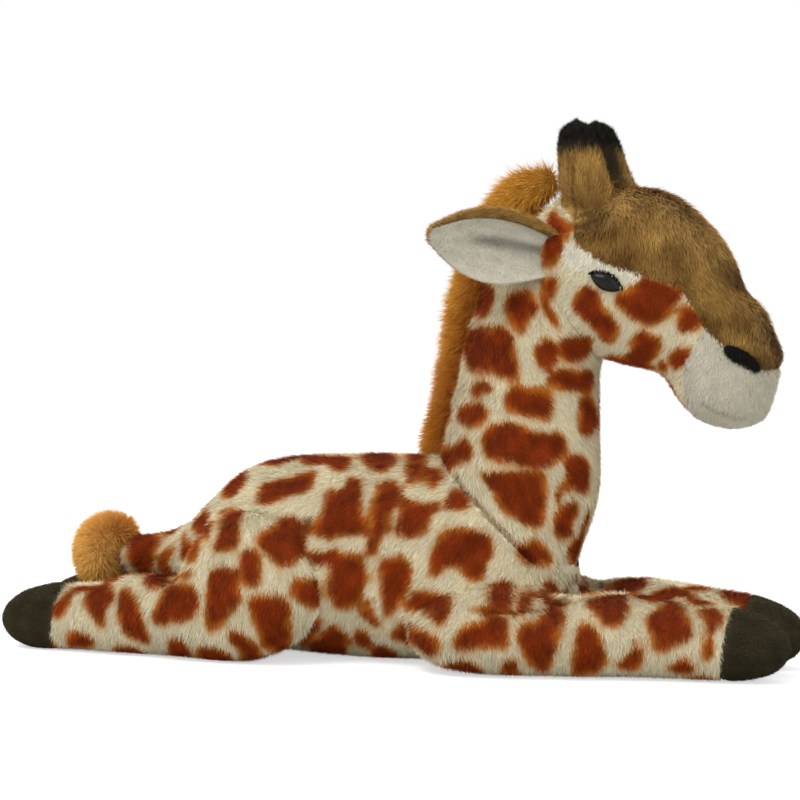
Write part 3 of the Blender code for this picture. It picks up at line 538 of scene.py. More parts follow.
def colour_property(name, description, red, green, blue):
    """A colour as the screen shows it, from values up to 255."""
    return FloatVectorProperty(
        name=name,
        description=description,
        default=(red / 255, green / 255, blue / 255),
        size=3,
        min=0,
        max=1,
        subtype="COLOR_GAMMA",
    )


class GiraffeColours(bpy.types.PropertyGroup):
    """Colours of the fabrics."""

    cream: colour_property("Cream", "Ground of the printed plush", 230, 219, 186)
    rust: colour_property("Rust", "Middle of the printed spots", 138, 54, 18)
    orange: colour_property("Orange", "Rim of the printed spots", 188, 108, 34)
    white: colour_property("White", "Muzzle, ear linings and brow", 232, 226, 206)
    tan: colour_property("Tan", "Light silky pile of the forehead", 196, 154, 84)
    umber: colour_property("Umber", "Dark silky pile of the forehead", 106, 74, 34)
    charcoal: colour_property("Charcoal", "Hooves", 58, 52, 37)
    black: colour_property("Black", "Horn tips and nose patches", 36, 33, 29)
    # The mane's root colour is painted shade deep in the brush
    mane_root: colour_property("Mane root", "Mane close to the neck", 190, 114, 38)
    mane_tip: colour_property("Mane tip", "Outer edge of the mane", 226, 168, 68)
    tuft: colour_property("Tuft", "Outside of the tail's tuft", 246, 194, 104)
    tuft_root: colour_property("Tuft root", "Tuft near the tail", 212, 140, 56)
    slate: colour_property("Slate", "Eyes", 19, 19, 18)


def pile_settings():
    """The pile's sizes, as the panel has them."""
    return bpy.context.scene.giraffe_pile


def shade(name):
    """A colour of the panel, as an array."""
    return np.array(getattr(bpy.context.scene.giraffe_colours, name))


def unit(vectors):
    """Vectors made one long."""
    return vectors / np.maximum(np.linalg.norm(vectors, axis=-1, keepdims=True), 1e-12)


def smooth_step(low, high, values):
    """Rises from 0 at low to 1 at high, level at both."""
    share = np.clip((values - low) / (high - low), 0, 1)
    return share * share * (3 - 2 * share)


def blend_colours(first, second, share):
    """First where the share is 0, second where it is 1."""
    share = np.asarray(share)[..., None]
    return first * (1 - share) + second * share


def linear(colours):
    """Colours of the screen as linear light."""
    return np.where(colours <= 0.04045, colours / 12.92, ((colours + 0.055) / 1.055) ** 2.4)


def ripple(points, length, seed):
    """Smooth noise from -1 to 1: a sum of sines along seeded directions, each near the given wavelength."""
    rng = np.random.default_rng(seed)
    waves = unit(rng.normal(size=(7, 3))) * (2 * math.pi / length) * rng.uniform(0.6, 1.5, (7, 1))
    return np.sin(points @ waves.T + rng.uniform(0, 2 * math.pi, 7)).sum(-1) / 3.6


def spline_weights(count, samples, closed):
    """Uniform cubic B-spline weights of each control point, one row for each sample along the curve."""
    spans = count if closed else count - 3
    place = np.linspace(0, spans, samples, endpoint=not closed)
    first = np.minimum(place.astype(int), spans - 1)
    part = place - first
    parts = ((1 - part) ** 3, 3 * part**3 - 6 * part**2 + 4, 1 + 3 * part * (1 + part - part**2), part**3)
    weights = np.zeros((samples, count))
    for step, values in enumerate(parts):
        np.add.at(weights, (np.arange(samples), (first + step) % count), values / 6)
    return weights


def stuffed_form(start, span, sizes, shares, sides=SMALL_SIDES, hand=1):
    """A form's rings in metres from its share table."""
    shares = np.array(shares, float)
    centres = np.array(start) + np.array(span) * (1, hand, 1) * shares[:, :3]
    return Form(centres, shares[:, 3:] * sizes / 2, sides)


def ring_frames(centres):
    """The directions along a line of centres, across it and upwards from it."""
    along = unit(np.concatenate((centres[1:], centres[-1:])) - np.concatenate((centres[:1], centres[:-1])))
    across = unit(Y_AXIS - along * along[:, 1:2])
    return along, across, np.cross(along, across)


def form_points(form, rows, columns):
    """The form's surface as a grid: elliptic rings as control points, drawn to a point at both ends."""
    along, across, upward = ring_frames(form.centres)
    turn = 2 * math.pi * np.arange(form.sides) / form.sides
    limit_share = (2 + math.cos(2 * math.pi / form.sides)) / 3
    wide = across[:, None] * (form.halves[:, None, :1] * np.cos(turn)[None, :, None])
    high = upward[:, None] * (form.halves[:, None, 1:] * np.sin(turn)[None, :, None])
    rings = form.centres[:, None] + (wide + high) / limit_share
    bulge = form.halves.mean(1)[:, None] * along * 0.3
    first = np.broadcast_to((form.centres[0] - bulge[0])[None, None], (3, form.sides, 3))
    last = np.broadcast_to((form.centres[-1] + bulge[-1])[None, None], (3, form.sides, 3))
    cage = np.concatenate((first, rings, last))
    points = np.einsum("rk,kjc->rjc", spline_weights(len(cage), rows, False), cage)
    return np.einsum("vj,rjc->rvc", spline_weights(form.sides, columns, True), points)


def grid_normals(points):
    """Outward normals of a closed tube of points, from the differences along and round it."""
    along = np.gradient(points, axis=0)
    around = np.roll(points, -1, 1) - np.roll(points, 1, 1)
    normals = np.cross(along, around)
    outward = points - points.mean(1, keepdims=True)
    if (normals * outward).sum() < 0:
        normals = -normals
    normals = unit(normals)
    normals[0] = unit((points[0] - points[2]).mean(0))
    normals[-1] = unit((points[-1] - points[-3]).mean(0))
    return normals


def form_surface(form, cell):
    """The form's surface with faces near the given size."""
    length = np.linalg.norm(np.diff(form.centres, axis=0), axis=1).sum() + form.halves.max()
    girth = math.pi * form.halves.mean(1).max() * 2
    points = form_points(form, int(length / cell) + 8, int(girth / cell))
    return Surface(form, points, grid_normals(points))


def form_distance(form, points):
    """How far points lie outside a form, from the ellipse nearest on its line. Negative inside."""
    ends = [np.concatenate((part[:1], part[:1], part, part[-1:], part[-1:])) for part in form[:2]]
    weights = spline_weights(len(ends[0]), LINE_SAMPLES, False)
    centres, halves = weights @ ends[0], weights @ ends[1]
    along, across, upward = ring_frames(centres)
    flat = points.reshape(-1, 3)
    apart = (flat**2).sum(1)[:, None] - 2 * flat @ centres.T + (centres**2).sum(1)
    nearest = apart.argmin(1)
    offset = flat - centres[nearest]
    beyond = np.abs((offset * along[nearest]).sum(1))
    wide = (offset * across[nearest]).sum(1)
    high = (offset * upward[nearest]).sum(1)
    radius = np.hypot(wide, high)
    share = np.hypot(wide / halves[nearest, 0], high / halves[nearest, 1])
    distance = radius - radius / np.maximum(share, 1e-6)
    at_end = (nearest == 0) | (nearest == LINE_SAMPLES - 1)
    distance = np.where(at_end, np.hypot(np.maximum(distance, 0), beyond), distance)
    return distance.reshape(points.shape[:-1])


def hock_top(points):
    """How high a hind leg reaches: low beside the tail, rising into the thigh, and rounded across."""
    across = np.abs(points[..., 1]) - torso_place(HIND_LEG_ROOT_SHARES)[1]
    return HOCK_HEIGHT + THIGH_RISE * smooth_step(-0.098, -0.070, points[..., 0]) - HOCK_ROUNDNESS * across**2


def leg_dip(points):
    """How much lower a front leg's top is in front of the neck, and nothing below its middle."""
    bell = np.exp(-(((points[..., 0] - DIP_PLACE) / DIP_REACH) ** 2))
    return DIP_DEPTH * bell * smooth_step(0.020, 0.036, points[..., 2])


def distance_from(name, points):
    """How far points lie outside a named form. A hind leg's top is low, and a front leg's dips."""
    distance = form_distance(forms()[name], points)
    if "hind_leg" in name:
        return np.maximum(distance, points[..., 2] - hock_top(points))
    return distance + leg_dip(points) if "front_leg" in name else distance


def polygon_distance(places, corners):
    """Signed distance of flat places from a polygon, negative inside it."""
    corners = np.array(corners)
    nearest = np.full(places.shape[:-1], np.inf)
    inside = np.zeros(places.shape[:-1], bool)
    for start, end in zip(corners, np.roll(corners, -1, 0)):
        edge = end - start
        offset = places - start
        share = np.clip((offset @ edge) / max(edge @ edge, 1e-12), 0, 1)
        nearest = np.minimum(nearest, np.linalg.norm(offset - share[..., None] * edge, axis=-1))
        crosses = (start[1] > places[..., 1]) != (end[1] > places[..., 1])
        level = np.where(edge[1] == 0, 1, edge[1])
        inside ^= crosses & (offset[..., 0] < edge[0] * offset[..., 1] / level)
    return np.where(inside, -nearest, nearest)


def torso_place(shares, hand=1):
    """A point at shares of the torso's span."""
    return RUMP + TORSO_SPAN * (1, hand, 1) * shares


def neck_place(shares):
    """A point at shares of the neck's span."""
    return torso_place(NECK_ROOT_SHARES) + NECK_SPAN * (1, 0, 1) * shares


def head_place(shares, hand=1):
    """A point at shares of the head's span."""
    return neck_place(HEAD_ROOT_SHARES) + HEAD_SPAN * (1, hand, 1) * shares


def leg_form(kind, hand):
    """A front or hind leg."""
    if kind == "front_leg":
        span, shares, root = FRONT_LEG_SPAN, FRONT_LEG_SHARES, FRONT_LEG_ROOT_SHARES
    else:
        span, shares, root = HIND_LEG_SPAN, HIND_LEG_SHARES, HIND_LEG_ROOT_SHARES
    return stuffed_form(torso_place(root, hand), span, span[1:], shares, SMALL_SIDES, hand)


@functools.cache
def forms():
    """Every stuffed form by name."""
    flat = (1, 0, 1)
    tail = stuffed_form(torso_place(TAIL_ROOT_SHARES), TAIL_SPAN, TAIL_WIDTH, TAIL_SHARES)
    found = {
        "torso": stuffed_form(RUMP, TORSO_SPAN, TORSO_SPAN[1:], TORSO_SHARES, LARGE_SIDES),
        "neck": stuffed_form(
            neck_place((0, 0, 0)), NECK_SPAN * flat, (NECK_SPAN[1], NECK_SPAN[0]), NECK_SHARES
        ),
        "head": stuffed_form(
            head_place((0, 0, 0)), HEAD_SPAN * flat, (HEAD_SPAN[1], HEAD_HEIGHT), HEAD_SHARES, LARGE_SIDES
        ),
        "mane": stuffed_form(torso_place(MANE_ROOT_SHARES), MANE_SPAN, MANE_SIZES, MANE_SHARES),
        "tail": tail,
        "tuft": stuffed_form(
            tail.centres[-1], (TUFT_RADIUS, 0, 0), (2 * TUFT_RADIUS, 2 * TUFT_RADIUS), BALL_SHARES
        ),
    }
    for hand, side in SIDE_NAMES.items():
        found[f"horn_{side}"] = stuffed_form(
            head_place(HORN_ROOT_SHARES, hand), HORN_SPAN, (HORN_WIDTH, HORN_WIDTH), HORN_SHARES
        )
        for kind in ("front_leg", "hind_leg"):
            found[f"{kind}_{side}"] = leg_form(kind, hand)
    return found


# Forms that a skin meets, the reach over which it rounds into each, and how deep their seam is
LEG_JOINS = (("front_leg_right", 0.018, 0.0005), ("front_leg_left", 0.018, 0.0005))
THIGH_JOINS = (("hind_leg_right", 0.026, 0.0006), ("hind_leg_left", 0.026, 0.0006))
JOINED = {
    "torso": (("neck", 0.010, 0.0007), ("tail", 0.024, 0)) + LEG_JOINS + THIGH_JOINS,
    "neck": (("torso", 0.010, 0.0007), ("head", 0.006, 0.0008)),
    "head": (("neck", 0.006, 0.0008), ("horn_right", 0.012, 0), ("horn_left", 0.012, 0)),
    "tail": (("torso", 0.024, 0),),
    "front_leg_right": (("torso", 0.018, 0.0005),),
    "front_leg_left": (("torso", 0.018, 0.0005),),
    "hind_leg_right": (("torso", 0.026, 0.0006),),
    "hind_leg_left": (("torso", 0.026, 0.0006),),
    "mane": (),
    "tuft": (),
    "horn_right": (("head", 0.009, 0),),
    "horn_left": (("head", 0.009, 0),),
}


CREASED = ("torso", "neck", "front_leg_right", "front_leg_left", "hind_leg_right", "hind_leg_left")


@functools.cache
def skin(name, depth):
    """A form's surface, drawn in by depth, rounded into its neighbours, creased and flat on the floor."""
    surface = form_surface(forms()[name], pile_settings().cell)
    points, normals = surface.points.copy(), surface.normals
    rise = -depth + 0.0005 * ripple(points, 0.035, SEED)
    for other, reach, crease in JOINED[name]:
        apart = np.abs(distance_from(other, points))
        if "hind_leg" in name + other:
            reach = 0.008 + (reach - 0.008) * smooth_step(-0.098, -0.066, points[..., 0])
        rise += np.clip(reach - apart, 0, None) ** 2 / (4 * reach) - crease * np.exp(-((apart / 0.0020) ** 2))
    if name == "head":
        rise -= 0.0009 * head_seam(points)
        for shares, reach, swell in HEAD_SWELLS:
            away = np.linalg.norm((points - head_place(shares)) * (1, 0.5, 1), axis=-1)
            rise += swell * np.exp(-((away / reach) ** 2))
    if "leg" in name:
        rise -= 0.0008 * hoof_seam(points, name)
    if "front_leg" in name:
        rise -= leg_dip(points)
    if "hind_leg" in name:
        heel = np.clip(normals @ (-0.7, 0, 0.7), 0, 1) ** 2
        rise -= 0.0030 * heel * smooth_step(0.006, 0.018, hoof_reach(points, name))
    if name == "tuft":
        apart = points[..., 2] - forms()["tail"].centres[-1, 2]
        rise -= 0.0090 * np.clip(normals[..., 0], 0, 1) * smooth_step(0.014, 0.004, apart)
    if "horn" in name:
        rise -= (np.clip(form_distance(forms()["head"], points), 0, 0.03) + 0.004) * horn_root(points)
        base, tip = HORN_FRONTS[name]
        front = base + (tip - base) * smooth_step(0.010, 0.034, horn_height(points))
        rise -= front * np.clip(normals[..., 0], 0, 1)
    if name == "mane":
        height = points[..., 2]
        rise -= 0.0024 * smooth_step(0.205, 0.175, height) - 0.0042 * smooth_step(0.130, 0.085, height)
        top = smooth_step(0.178, 0.200, height) * smooth_step(0.250, 0.225, height)
        rise -= 0.0062 * top * np.clip(-normals[..., 0], 0, 1)
        rise += 0.0040 * smooth_step(0.222, 0.236, height) * np.clip(normals[..., 0], 0, 1)
    deep, _ = crease_share(points.reshape(-1, 3), normals.reshape(-1, 3), name)
    rise -= deep.reshape(rise.shape)
    points += normals * rise[..., None]
    if "hind_leg" in name:
        soft = 0.003
        points[..., 2] = -soft * np.logaddexp(-points[..., 2] / soft, (depth - hock_top(points)) / soft)
    points[..., 2] = np.maximum(points[..., 2], SKIN_FLOOR)
    return Surface(surface.form, points, grid_normals(points))


def head_panel_distance(points):
    """Signed distances from the forehead's and the muzzle's seams in side view, negative on the panels."""
    places = points[..., (0, 2)]
    outlines = []
    for shares in (FOREHEAD_SEAM_SHARES, MUZZLE_SEAM_SHARES):
        corners = [head_place((x_share, 0, z_share)) for x_share, z_share in shares]
        outlines.append(polygon_distance(places, np.array(corners)[:, (0, 2)]))
    forehead, muzzle = outlines
    return forehead, np.maximum(muzzle, -forehead)


def head_seam(points):
    """One on the seams between the head's panels, falling to nothing beside them."""
    forehead, muzzle = head_panel_distance(points)
    nearest = np.minimum(np.abs(forehead), np.abs(muzzle))
    return np.exp(-((nearest / SEAM_WIDTH) ** 2))


def horn_height(points):
    """How high points are above the start of the horns."""
    return points[..., 2] - head_place(HORN_ROOT_SHARES)[2]


def horn_root(points):
    """One where a horn's base is under the forehead's pile, and zero above it."""
    return smooth_step(0.021, 0.003, horn_height(points))


def hoof_line(name):
    """Where a leg's cover ends at the hoof, and which way the toes point."""
    if name.startswith("front"):
        return torso_place(FRONT_LEG_ROOT_SHARES)[0] + FRONT_LEG_SPAN[0] - FRONT_HOOF_LENGTH, 1
    return torso_place(HIND_LEG_ROOT_SHARES)[0] + HIND_LEG_SPAN[0] + HIND_HOOF_LENGTH, -1


def hoof_reach(points, name):
    """How far points lie beyond the hoof's edge towards the toes, negative on the leg's cover."""
    seam, toes = hoof_line(name)
    edge, slope = HOOF_EDGES[name.split("_")[0]]
    return (points[..., 0] - seam) * toes + edge + slope * points[..., 2]


def hoof_seam(points, name):
    """One on the seam round the hoof and on the seam over its toe."""
    reach = hoof_reach(points, name)
    ring = np.exp(-((reach / SEAM_WIDTH) ** 2))
    over = np.exp(-(((points[..., 1] - forms()[name].centres[-1, 1]) / 0.0010) ** 2))
    return np.maximum(ring, over * (reach > 0))


def camera_frame():
    """The camera's place, and its directions to the right, upwards and forwards."""
    azimuth, elevation = math.radians(CAMERA_AZIMUTH), math.radians(CAMERA_ELEVATION)
    level = math.cos(elevation)
    back = np.array((math.sin(azimuth) * level, -math.cos(azimuth) * level, math.sin(elevation)))
    right = np.array((math.cos(azimuth), math.sin(azimuth), 0))
    return CAMERA_TARGET + back * CAMERA_DISTANCE, right, np.cross(back, right), -back


def picture_places(points):
    """Where points show in the photograph, in pixels across and down, and how far from the camera."""
    place, right, upward, forward = camera_frame()
    offset = points - place
    depth = offset @ forward
    middle = PICTURE_WIDTH / 2
    columns = middle + FOCAL_PIXELS * (offset @ right) / depth
    rows = middle - FOCAL_PIXELS * (offset @ upward) / depth
    return columns, rows, depth


def rounded_outline(corners):
    """A closed outline with a point between each two corners, on the smooth curve through them."""
    before, after = np.roll(corners, 1, 0), np.roll(corners, -1, 0)
    between = (9 * (corners + after) - before - np.roll(corners, -2, 0)) / 16
    return np.stack((corners, between), 1).reshape(-1, corners.shape[1])


def anchored_spot(surface, outline):
    """A spot set on the skin where the photograph shows its outline, or None if most lies beside it."""
    place, right, upward, forward = camera_frame()
    points, normals = surface.points.reshape(-1, 3), surface.normals.reshape(-1, 3)
    facing = (normals * unit(place - points)).sum(1) > 0.08
    points, normals = points[facing], normals[facing]
    columns, rows, depth = picture_places(points)
    wanted = rounded_outline(np.array(outline, float).reshape(-1, 2))
    miss = (columns[:, None] - wanted[:, 0]) ** 2 + (rows[:, None] - wanted[:, 1]) ** 2
    index = miss.argmin(0)
    if np.mean(miss.min(0) > CARRIED_PIXELS**2) > 0.5:
        return None
    across = np.clip(wanted[:, 0] - columns[index], -SLID_PIXELS, SLID_PIXELS)[:, None]
    down = np.clip(wanted[:, 1] - rows[index], -SLID_PIXELS, SLID_PIXELS)[:, None]
    flat = (right * across - upward * down) * depth[index, None] / FOCAL_PIXELS
    slide = (flat * normals[index]).sum(1) / np.minimum(normals[index] @ forward, -0.3)
    return spot_on(points[index] + flat - forward * slide[:, None], normals[index])


@functools.cache
def crease_lines(name):
    """The creases on a form and on its other side, each as depth, width and a spot without an area."""
    surface = form_surface(forms()[name], SPOT_CELL)
    found = []
    for depth, width, line in CREASES:
        corners = np.array(line, float).reshape(-1, 2)
        spot = anchored_spot(surface, np.concatenate((corners, corners[-2:0:-1])))
        if spot is not None:
            found += [(depth, width, spot), (depth, width, mirrored(spot))]
    return found


def crease_share(points, normals, name):
    """How deep the creases are at points of a form, and how close their lines are, from 0 to 1, which sets
    the painted shade along the narrow ones.
    """
    deep, near = np.zeros(len(points)), np.zeros(len(points))
    if name not in CREASED:
        return deep, near
    source = name.replace("_left", "_right")
    for depth, width, spot in crease_lines(source):
        fall = np.exp(-((spot_distance(points, normals, [spot]) / width) ** 2))
        deep = np.maximum(deep, depth * fall)
        # Only creases narrower than 2 mm get painted shade along their lines
        if width < 0.002:
            near = np.maximum(near, fall)
    return deep, near


def spot_on(corners, normals):
    """A spot from its corners on the skin, kept as a flat outline in the plane that faces outwards."""
    centre = corners.mean(0)
    normal = unit(normals.mean(0))
    across = unit(np.cross(normal, Z_AXIS + 0.01 * X_AXIS))
    upward = np.cross(normal, across)
    offset = corners - centre
    flat = np.column_stack((offset @ across, offset @ upward))
    return Spot(centre, normal, across, upward, flat, np.linalg.norm(offset, axis=1).max())


def mirrored(spot):
    """The same spot on the other side."""
    flip = np.array((1, -1, 1))
    directions = [vector * flip for vector in (spot.centre, spot.normal, spot.across, spot.upward)]
    return Spot(*directions, spot.corners, spot.reach)


def added_spots(surface, spots, rng):
    """Spots where the photograph doesn't look, each grown to the room that it finds, the largest first."""
    points, normals = surface.points.reshape(-1, 3), surface.normals.reshape(-1, 3)
    if abs(surface.form.centres[:, 1]).max() > 0.001:
        near_side = normals * (1, -1 if surface.form.centres[0, 1] > 0 else 1, 1)
    else:
        near_side = normals * np.where(points[:, 1:2] > 0, (1, -1, 1), (1, 1, 1))
    hidden = near_side @ -camera_frame()[3] < 0.10
    chosen = rng.permutation(np.flatnonzero(hidden))[:ADDED_PLACES]
    placed = [(spot.centre, np.linalg.norm(spot.corners, axis=1).mean()) for spot in spots]
    turn = np.linspace(0, 2 * math.pi, ADDED_CORNERS, endpoint=False)[:, None]
    for radius in ADDED_RADII:
        for index in chosen:
            point = points[index]
            if all(np.linalg.norm(point - centre) > radius + other + ADDED_GAP for centre, other in placed):
                placed.append((point, radius))
                along = unit(np.cross(normals[index], rng.normal(size=3)))
                side = np.cross(normals[index], along)
                away = radius * rng.uniform(0.86, 1.16, (ADDED_CORNERS, 1))
                stretch = rng.uniform(1.0, 1.25)
                corners = point + (along * np.cos(turn) * stretch + side * np.sin(turn) / stretch) * away
                spots.append(spot_on(rounded_outline(corners), normals[index : index + 1]))
    return spots


BODY_SPOTS = TORSO_SPOTS + NECK_SPOTS + FRONT_LEG_SPOTS + HIND_LEG_SPOTS + TAIL_SPOTS
HEAD_AND_NECK_SPOTS = HEAD_SPOTS + NECK_SPOTS[:8]


@functools.cache
def printed_spots(name):
    """The spots on a form: the photograph's, the same on its other side, and some on what it hides."""
    kind = name.removesuffix("_right").removesuffix("_left")
    near = kind if kind == name else f"{kind}_right"
    surface = form_surface(forms()[near], SPOT_CELL)
    outlines = HEAD_AND_NECK_SPOTS if kind == "head" else BODY_SPOTS
    seen = [spot for spot in (anchored_spot(surface, outline) for outline in outlines) if spot is not None]
    if kind == name:
        spots = seen + [mirrored(spot) for spot in seen if spot.centre[1] < -0.008]
    else:
        spots = seen if name == near else [mirrored(spot) for spot in seen]
        surface = form_surface(forms()[name], SPOT_CELL)
    return added_spots(surface, spots, np.random.default_rng(SEED + len(name)))


def spot_distance(points, normals, spots):
    """Signed distance from the outlines of spots, negative on a spot."""
    warp = np.stack([ripple(points, 0.012, SEED + step) for step in range(3)], -1) * 0.0004
    places = points + warp
    nearest = np.full(len(points), 0.03)
    for spot in spots:
        offset = places - spot.centre
        near = (offset**2).sum(1) < (spot.reach + 0.005) ** 2
        close = np.flatnonzero(near & (normals @ spot.normal > -0.1))
        flat = np.column_stack((offset[close] @ spot.across, offset[close] @ spot.upward))
        nearest[close] = np.minimum(nearest[close], polygon_distance(flat, spot.corners))
    return nearest


def print_marks(name):
    """The marks of a form's printed spots, and how close its creases are, for the painted shade along them.
    """

    def marks(points, normals):
        distance = spot_distance(points, normals, printed_spots(name))
        return np.column_stack((distance, crease_share(points, normals, name)[1]))

    return marks


def printed_colour(points, normals, marks):
    """The printed plush: rust spots with an orange rim that feathers into cream, and painted shade along the
    creases.
    """
    distance = marks[:, 0] + 0.0004 * ripple(points, 0.004, SEED + 5) - 0.0001
    cream, rust, orange = shade("cream"), shade("rust"), shade("orange")
    tone = 1 + 0.12 * ripple(points, 0.009, SEED + 7)[:, None]
    patchy = distance + 0.0013 * ripple(points, 0.015, SEED + 8)
    spot = blend_colours(rust, orange, smooth_step(-0.0036, 0.0006, patchy)) * tone
    ground = blend_colours(cream, orange, 0.36 * smooth_step(0.0024, 0.0002, distance))
    ground = ground * (1 + 0.03 * ripple(points, 0.02, SEED + 9)[:, None])
    printed = blend_colours(spot, ground, smooth_step(-0.0005, 0.0006, distance))
    # Painted shade along the creases, darkest in blue
    return printed * (1 - marks[:, 1:2] * CREASE_PAINTED_SHADE)


def scattered(surface, density, rng):
    """Places spread evenly over a tube: points, normals, map places, and how to carry grid values there."""
    points = surface.points
    wrapped = np.concatenate((points, points[:, :1]), 1)
    down = wrapped[1:, :-1] - wrapped[:-1, :-1]
    side = wrapped[:-1, 1:] - wrapped[:-1, :-1]
    reach = np.cumsum(np.linalg.norm(np.cross(down, side), axis=-1).ravel())
    count = int(reach[-1] * density * 1e6)
    wanted = (np.arange(count) + rng.random(count)) / count * reach[-1]
    row, column = np.divmod(np.searchsorted(reach, wanted), side.shape[1])
    along, around = rng.random((2, count, 1))

    def carry(values):
        """Values of the grid's points at the scattered places."""
        values = np.concatenate((values, values[:, :1]), 1)
        low = values[row, column] * (1 - around) + values[row, column + 1] * around
        high = values[row + 1, column] * (1 - around) + values[row + 1, column + 1] * around
        return low * (1 - along) + high * along

    turned = (column + around[:, 0]) / side.shape[1]
    places = np.column_stack((turned, (row + along[:, 0]) / (len(points) - 1)))
    return carry(points), unit(carry(surface.normals)), places, carry


def blades(
    roots, normals, flow, colours, places, length, width, lean, rng, bend=None, spread=0.22, jitter=0.10
):
    """Blades of pile. A straight one is one tapered face, a bent one a tapered strip of two.

    A blade starts just under the skin and leaves it along the flow, raised from it by the lean's sine.
    """
    count = len(roots)
    flow = unit(flow - normals * (flow * normals).sum(1)[:, None])
    heading = flow * np.cos(lean) + normals * np.sin(lean) + rng.normal(scale=spread, size=(count, 3))
    heading = unit(heading)
    side = unit(np.cross(heading, normals + rng.normal(scale=0.35, size=(count, 3))))
    length = (length * rng.uniform(0.75, 1.15, count))[:, None]
    half = side * (width / 2 * rng.uniform(0.7, 1.2, count))[:, None]
    start = roots - normals * 0.0003
    colours = colours * rng.uniform(1 - jitter, 1 + jitter, (count, 1))
    index = np.arange(count)[:, None]
    if bend is None:
        corners = np.stack((start - half, start + half, start + heading * length), 1)
        faces = [index * 3 + np.arange(3)]
        depth = np.array((0, 0, 1.0))
    else:
        middle = start + heading * length * 0.5
        after = unit(heading * (1 - bend) + flow * bend)
        tip = middle + after * length * 0.5
        corners = np.stack((start - half, start + half, middle + half * 0.8, middle - half * 0.8, tip), 1)
        faces = [index * 5 + np.arange(4), index * 5 + np.array((3, 2, 4))]
        depth = np.array((0, 0, 0.5, 0.5, 1.0))
    sides = corners.shape[1]
    vertices = corners.reshape(-1, 3)
    vertices[:, 2] = np.maximum(vertices[:, 2], BLADE_FLOOR)
    drift = np.linspace(0, 0.004, sides)[:, None] * (1, 0.5)
    spots = np.repeat(places, sides, 0) + np.tile(drift, (count, 1))
    return Pile(vertices, faces, np.repeat(colours, sides, 0), np.tile(depth, count), np.clip(spots, 0, 1))


def skin_part(surface, colours, keep=None):
    """A tube of points as a skin, closed at each end: its faces, or those whose corners are all kept."""
    rows, columns = surface.points.shape[:2]
    index = np.arange(rows * columns).reshape(rows, columns)
    index[0], index[-1] = index[0, 0], index[-1, 0]
    after = np.roll(index, -1, 1)
    faces = np.stack((index[:-1], after[:-1], after[1:], index[1:]), -1)
    body = faces[1:-1].reshape(-1, 4)
    first = faces[0][:, (0, 2, 3)]
    last = faces[-1][:, (0, 1, 3)]
    groups = [body, first, last]
    points = surface.points.reshape(-1, 3)
    middle = points[index[1]].mean(0)
    start, second, third = (points[first[:, corner]] for corner in range(3))
    normal = np.cross(second - start, third - start).sum(0)
    if normal @ (start[0] - middle) < 0:
        groups = [group[:, ::-1] for group in groups]
    if keep is not None:
        kept = keep.reshape(-1)
        groups = [group[kept[group].all(1)] for group in groups]
    along, around = np.meshgrid(np.linspace(0, 1, rows), np.linspace(0, 1, columns), indexing="ij")
    places = np.column_stack((around.reshape(-1), along.reshape(-1)))
    return Pile(points, groups, colours.reshape(-1, 3), np.zeros(len(points)), places)


def add_piece(name, parts, material, smooth=True):
    """A mesh object from parts, with their colours and blade depths as attributes and a map of their own."""
    starts = np.cumsum([0] + [len(part.vertices) for part in parts])
    groups = [group + start for part, start in zip(parts, starts) for group in part.faces if len(group)]
    corners = np.concatenate([group.reshape(-1) for group in groups])
    sizes = np.concatenate([np.full(len(group), group.shape[1]) for group in groups])
    vertices = np.concatenate([part.vertices for part in parts])
    used = np.zeros(len(vertices), bool)
    used[corners] = True
    corners = (np.cumsum(used) - 1)[corners]
    mesh = bpy.data.meshes.new(name)
    mesh.vertices.add(int(used.sum()))
    mesh.vertices.foreach_set("co", vertices[used].astype(np.float32).ravel())
    mesh.loops.add(len(corners))
    mesh.loops.foreach_set("vertex_index", corners.astype(np.int32))
    mesh.polygons.add(len(sizes))
    mesh.polygons.foreach_set("loop_start", (np.cumsum(sizes) - sizes).astype(np.int32))
    mesh.polygons.foreach_set("use_smooth", np.full(len(sizes), smooth))
    colours = np.clip(linear(np.concatenate([part.colours for part in parts])[used]), 0, 1)
    layer = mesh.attributes.new("pile_colour", "FLOAT_COLOR", "POINT")
    opaque = np.column_stack((colours, np.ones(len(colours))))
    layer.data.foreach_set("color", opaque.astype(np.float32).ravel())
    layer = mesh.attributes.new("pile_depth", "FLOAT", "POINT")
    layer.data.foreach_set("value", np.concatenate([part.depth for part in parts])[used].astype(np.float32))
    places = np.concatenate([part.places for part in parts])[used]
    mapping = mesh.uv_layers.new(name="OFBake")
    mapping.data.foreach_set("uv", places[corners].astype(np.float32).ravel())
    mesh.update(calc_edges=True)
    mesh.validate()
    mesh.materials.append(material)
    piece = bpy.data.objects.new(name, mesh)
    bpy.context.scene.collection.objects.link(piece)
    return piece


def set_on(piece, nodes, body, joined=None):
    """Hand a piece to the frame: what it replaces, and the body that it follows; a joined piece follows no
    body and stays where it is.
    """
    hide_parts(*nodes)
    if joined is None:
        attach(piece, body)
    else:
        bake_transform(piece)
    return piece


# Materials


def link(tree, source, target):
    """Join two sockets."""
    tree.links.new(source, target)


def set_inputs(node, values):
    """Give a node's inputs their values, by name or by number."""
    for socket, value in values.items():
        node.inputs[socket].default_value = value


def add_node(tree, kind, operation=None, values=None):
    """A new shader node, with its operation and the values of its inputs."""
    node = tree.nodes.new(f"ShaderNode{kind}")
    if operation:
        node.operation = operation
    set_inputs(node, values or {})
    return node


def new_material(name):
    """A new material with its tree and its shader."""
    material = bpy.data.materials.new(name)
    material.use_nodes = True
    return material, material.node_tree, material.node_tree.nodes["Principled BSDF"]


def add_bump(tree, height, strength, distance, shader):
    """Bumps on a shader from a height."""
    raised = add_node(tree, "Bump", values={"Strength": strength, "Distance": distance})
    link(tree, height, raised.inputs["Height"])
    link(tree, raised.outputs["Normal"], shader.inputs["Normal"])


